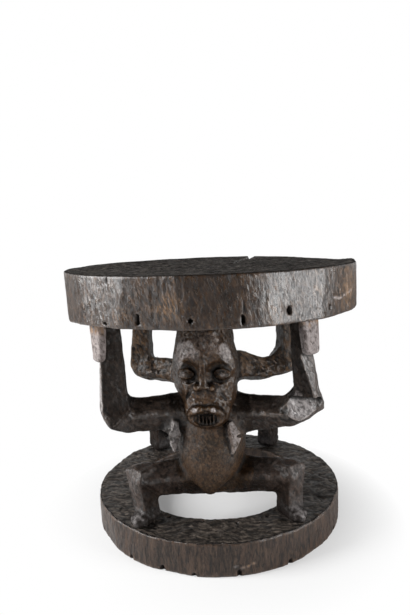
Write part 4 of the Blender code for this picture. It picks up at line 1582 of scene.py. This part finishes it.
def tool_cuts(n, where, scale):
    """A random tone for each tool cut, the cuts' height, each tilted its own way, and their borders."""
    tones = n.add("ShaderNodeTexVoronoi", "Color", Vector=where, Scale=scale)
    tilt = n.vector("SUBTRACT", 0, tones, (0.5, 0.5, 0.5))
    local = n.vector("SUBTRACT", 0, where, tones.node.outputs["Position"])
    border = n.add("ShaderNodeTexVoronoi", "Distance", {"feature": "DISTANCE_TO_EDGE"}, Vector=where,
                   Scale=scale)
    return tones, n.vector("DOT_PRODUCT", "Value", local, tilt), n.ramp(border, 0.09, 0.01)


def belly_share(n, where):
    """1 on the rubbed belly at the front of either figure, fading to 0 at shoulders and hips."""
    mirrored = n.vector("ABSOLUTE", 0, where)
    moved = n.add("ShaderNodeMapping", 0, Vector=mirrored, Location=BELLY_PLACE, Scale=BELLY_SCALE)
    return n.ramp(n.vector("LENGTH", "Value", moved), 1.25, 0.85)


# The belly's place and size, as the shift and scale that bring it to the unit ball
BELLY_PLACE = (0.0, -2.30, -2.15)
BELLY_SCALE = (20.0, 20.0, 17.0)
# Tones that the woods share, the dark one also painted shade and the pale one also painted highlight; those
# of the limbs are red, green and blue up to 255
DIRT_AND_SHADE = srgb(14, 11, 9)
PALE_AND_HIGHLIGHT = srgb(170, 164, 163)
TAN = srgb(126, 96, 66)
LIMB_DARK = (20, 15, 12)
LIMB_MIDDLE = (52, 40, 33)
# Kinds of pattern: its stretch, the turn of the tool strokes, and how often and how far they run in waves
HEWN = ((1.0, 1.0, 0.28), (0.0, 0.38, 0.0), 60.0, 0.005)
UPRIGHT = ((1.0, 1.0, 0.20), (0.0, 0.0, 0.0), 60.0, 0.004)
LEVEL = ((0.30, 1.0, 1.0), (0.0, 0.0, 0.3), 16.0, 0.050)
SHORT = ((1.0, 1.0, 0.50), (0.0, 0.42, 0.0), 60.0, 0.006)
PITTED = ((1.0, 1.0, 0.75), (0.0, 0.42, 0.0), 60.0, 0.006)
# Slot and name of each material, its dark, middle and worn tone, roughness, specular, grain, relief of the
# fibres, pattern, size and slope of the tool cuts, and for the torso the belly's two tones
WOODS = (
    ("seat_wood", "seat_side", ((20, 12, 7), (44, 30, 20), (102, 79, 60)),
     0.26, 0.58, 0.55, 0.0005, HEWN, 0.0021, 0.27),
    ("seat_wood", "seat_face", ((9, 8, 7), (29, 26, 24), (124, 117, 111)),
     0.60, 0.02, 0.80, 0.0009, LEVEL, 0.0060, 0.70),
    ("base_wood", "base_side", ((32, 23, 17), (60, 45, 36), (97, 78, 63)),
     0.32, 0.38, 0.40, 0.0006, UPRIGHT, 0.0034, 0.25),
    ("base_wood", "base_face", ((15, 12, 9), (36, 30, 26), (114, 104, 95)),
     0.46, 0.19, 0.74, 0.0009, LEVEL, 0.0065, 0.70),
    ("head_wood", "head", ((33, 21, 11), (62, 42, 26), (134, 106, 76)),
     0.30, 0.37, 0.28, 0.0004, PITTED, 0.0034, 0.60),
    ("torso_wood", "torso", (LIMB_DARK, LIMB_MIDDLE, (104, 84, 64)),
     0.36, 0.65, 0.34, 0.0006, PITTED, 0.0034, 0.75, ((30, 20, 11), (59, 41, 26))),
    ("arm_wood", "arm", (LIMB_DARK, LIMB_MIDDLE, (112, 98, 88)),
     0.33, 0.54, 0.38, 0.0005, SHORT, 0.0038, 0.60),
    ("hand_wood", "hand", ((88, 77, 73), (119, 107, 103), (135, 124, 120)),
     0.52, 0.36, 0.30, 0.0005, SHORT, 0.0040, 0.35),
    ("leg_wood", "leg", ((24, 18, 14), (56, 43, 36), (106, 92, 84)),
     0.40, 0.36, 0.36, 0.0005, SHORT, 0.0038, 0.50),
    ("foot_wood", "foot", (LIMB_DARK, (62, 55, 53), (106, 101, 100)),
     0.42, 0.42, 0.30, 0.0005, SHORT, 0.0038, 0.55),
)


def make_materials():
    """The materials of each slot."""
    materials = {}
    for slot, *row in WOODS:
        materials.setdefault(slot, []).append(carved_wood(*row))
    return materials


# Stage
FLOOR_HALF = 4.0
FLOOR_TONE = (0.72, 0.72, 0.72, 1.0)
WHITE = (1.0, 1.0, 1.0, 1.0)
# The floor is less white by this share near the stool: full at the second distance, none at the first
FLOOR_SHADE = 0.86
SHADE_REACH = (0.28, 0.13)
# Place, size and power of the lamps, and where they aim
LAMPS = (
    ((-1.20, -0.38, 0.72), (0.7, 0.7), 35.0),
    ((1.06, -0.60, 0.34), (0.6, 0.6), 16.0),
)
LAMP_TARGET = Vector((0.0, 0.0, 0.20))
# Light from all round, what the wax mirrors of the room, and the directions' Y between which it turns white
FILL_STRENGTH = 0.16
ROOM_MIRRORED = 0.045
ROOM_FADE = (-0.25, 0.45)


def white_rays(n):
    """1 on rays that come from the eye or through a clear body, and 0 on all others."""
    from_eye = n.add("ShaderNodeLightPath", "Is Camera Ray")
    return n.math("MAXIMUM", from_eye, from_eye.node.outputs["Is Transmission Ray"])


def floor_material():
    material = bpy.data.materials.new("floor")
    n = Nodes(material)
    n.tree.nodes.remove(n.tree.nodes["Principled BSDF"])
    away = n.vector("LENGTH", "Value", n.add("ShaderNodeTexCoord", "Object"))
    shade = n.times(n.ramp(away, *SHADE_REACH), FLOOR_SHADE)
    share = n.times(white_rays(n), n.minus(1.0, shade))
    paper = n.add("ShaderNodeBsdfDiffuse", 0, Color=FLOOR_TONE)
    glow = n.add("ShaderNodeEmission", 0, Color=WHITE, Strength=1.0)
    blend = n.tree.nodes.new("ShaderNodeMixShader")
    for value, socket in zip((share, paper, glow), blend.inputs):
        n.plug(value, socket)
    n.plug(blend.outputs[0], n.tree.nodes["Material Output"].inputs["Surface"])
    return material


def build_floor():
    corners = [(x * FLOOR_HALF, y * FLOOR_HALF, 0.0) for x, y in ((-1, -1), (1, -1), (1, 1), (-1, 1))]
    mesh = bpy.data.meshes.new("floor")
    mesh.from_pydata(corners, [], [(0, 1, 2, 3)])
    floor = bpy.data.objects.new("floor", mesh)
    bpy.context.scene.collection.objects.link(floor)
    mesh.materials.append(floor_material())


def build_world():
    """White behind the object, and a dim room behind the camera for what the wax mirrors."""
    world = bpy.data.worlds.new("studio")
    bpy.context.scene.world = world
    n = Nodes(world)
    background = n.tree.nodes["Background"]
    background.inputs["Color"].default_value = WHITE
    depth = n.add("ShaderNodeSeparateXYZ", "Y", Vector=n.add("ShaderNodeTexCoord", "Generated"))
    rear = n.ramp(depth, *ROOM_FADE, ROOM_MIRRORED, 1.0)
    glossy = n.add("ShaderNodeLightPath", "Is Glossy Ray")
    mirrored = n.add("ShaderNodeMix", 0, Factor=glossy, A=FILL_STRENGTH, B=rear)
    n.plug(n.math("MAXIMUM", white_rays(n), mirrored), background.inputs["Strength"])


def build_lamps():
    for index, (place, size, power) in enumerate(LAMPS):
        light = bpy.data.lights.new("softbox_%d" % index, "AREA")
        light.shape = "RECTANGLE"
        light.size, light.size_y = size
        light.energy = power
        lamp = bpy.data.objects.new("softbox_%d" % index, light)
        bpy.context.scene.collection.objects.link(lamp)
        lamp.location = place
        lamp.rotation_euler = (LAMP_TARGET - lamp.location).to_track_quat("-Z", "Y").to_euler()


def build_camera():
    forward = CAMERA_FORWARD.normalized()
    level = forward.cross(Vector((0.0, 0.0, 1.0))).normalized()
    upright = level.cross(forward)
    right = level * math.cos(CAMERA_ROLL) + upright * math.sin(CAMERA_ROLL)
    up = upright * math.cos(CAMERA_ROLL) - level * math.sin(CAMERA_ROLL)
    data = bpy.data.cameras.new("camera")
    data.sensor_width = SENSOR
    data.lens = FOCAL_PIXELS * SENSOR / PHOTO_HEIGHT
    camera = bpy.data.objects.new("camera", data)
    bpy.context.scene.collection.objects.link(camera)
    matrix = Matrix((right, up, -forward)).transposed().to_4x4()
    matrix.translation = CAMERA_PLACE
    camera.matrix_world = matrix
    bpy.context.scene.camera = camera


def main():
    bpy.context.scene.view_settings.view_transform = "Standard"
    build_camera()
    build_world()
    build_lamps()
    build_floor()
    materials = make_materials()
    build_seat(materials)
    build_base(materials)
    build_figures(materials)
    bpy.context.view_layer.update()


main()
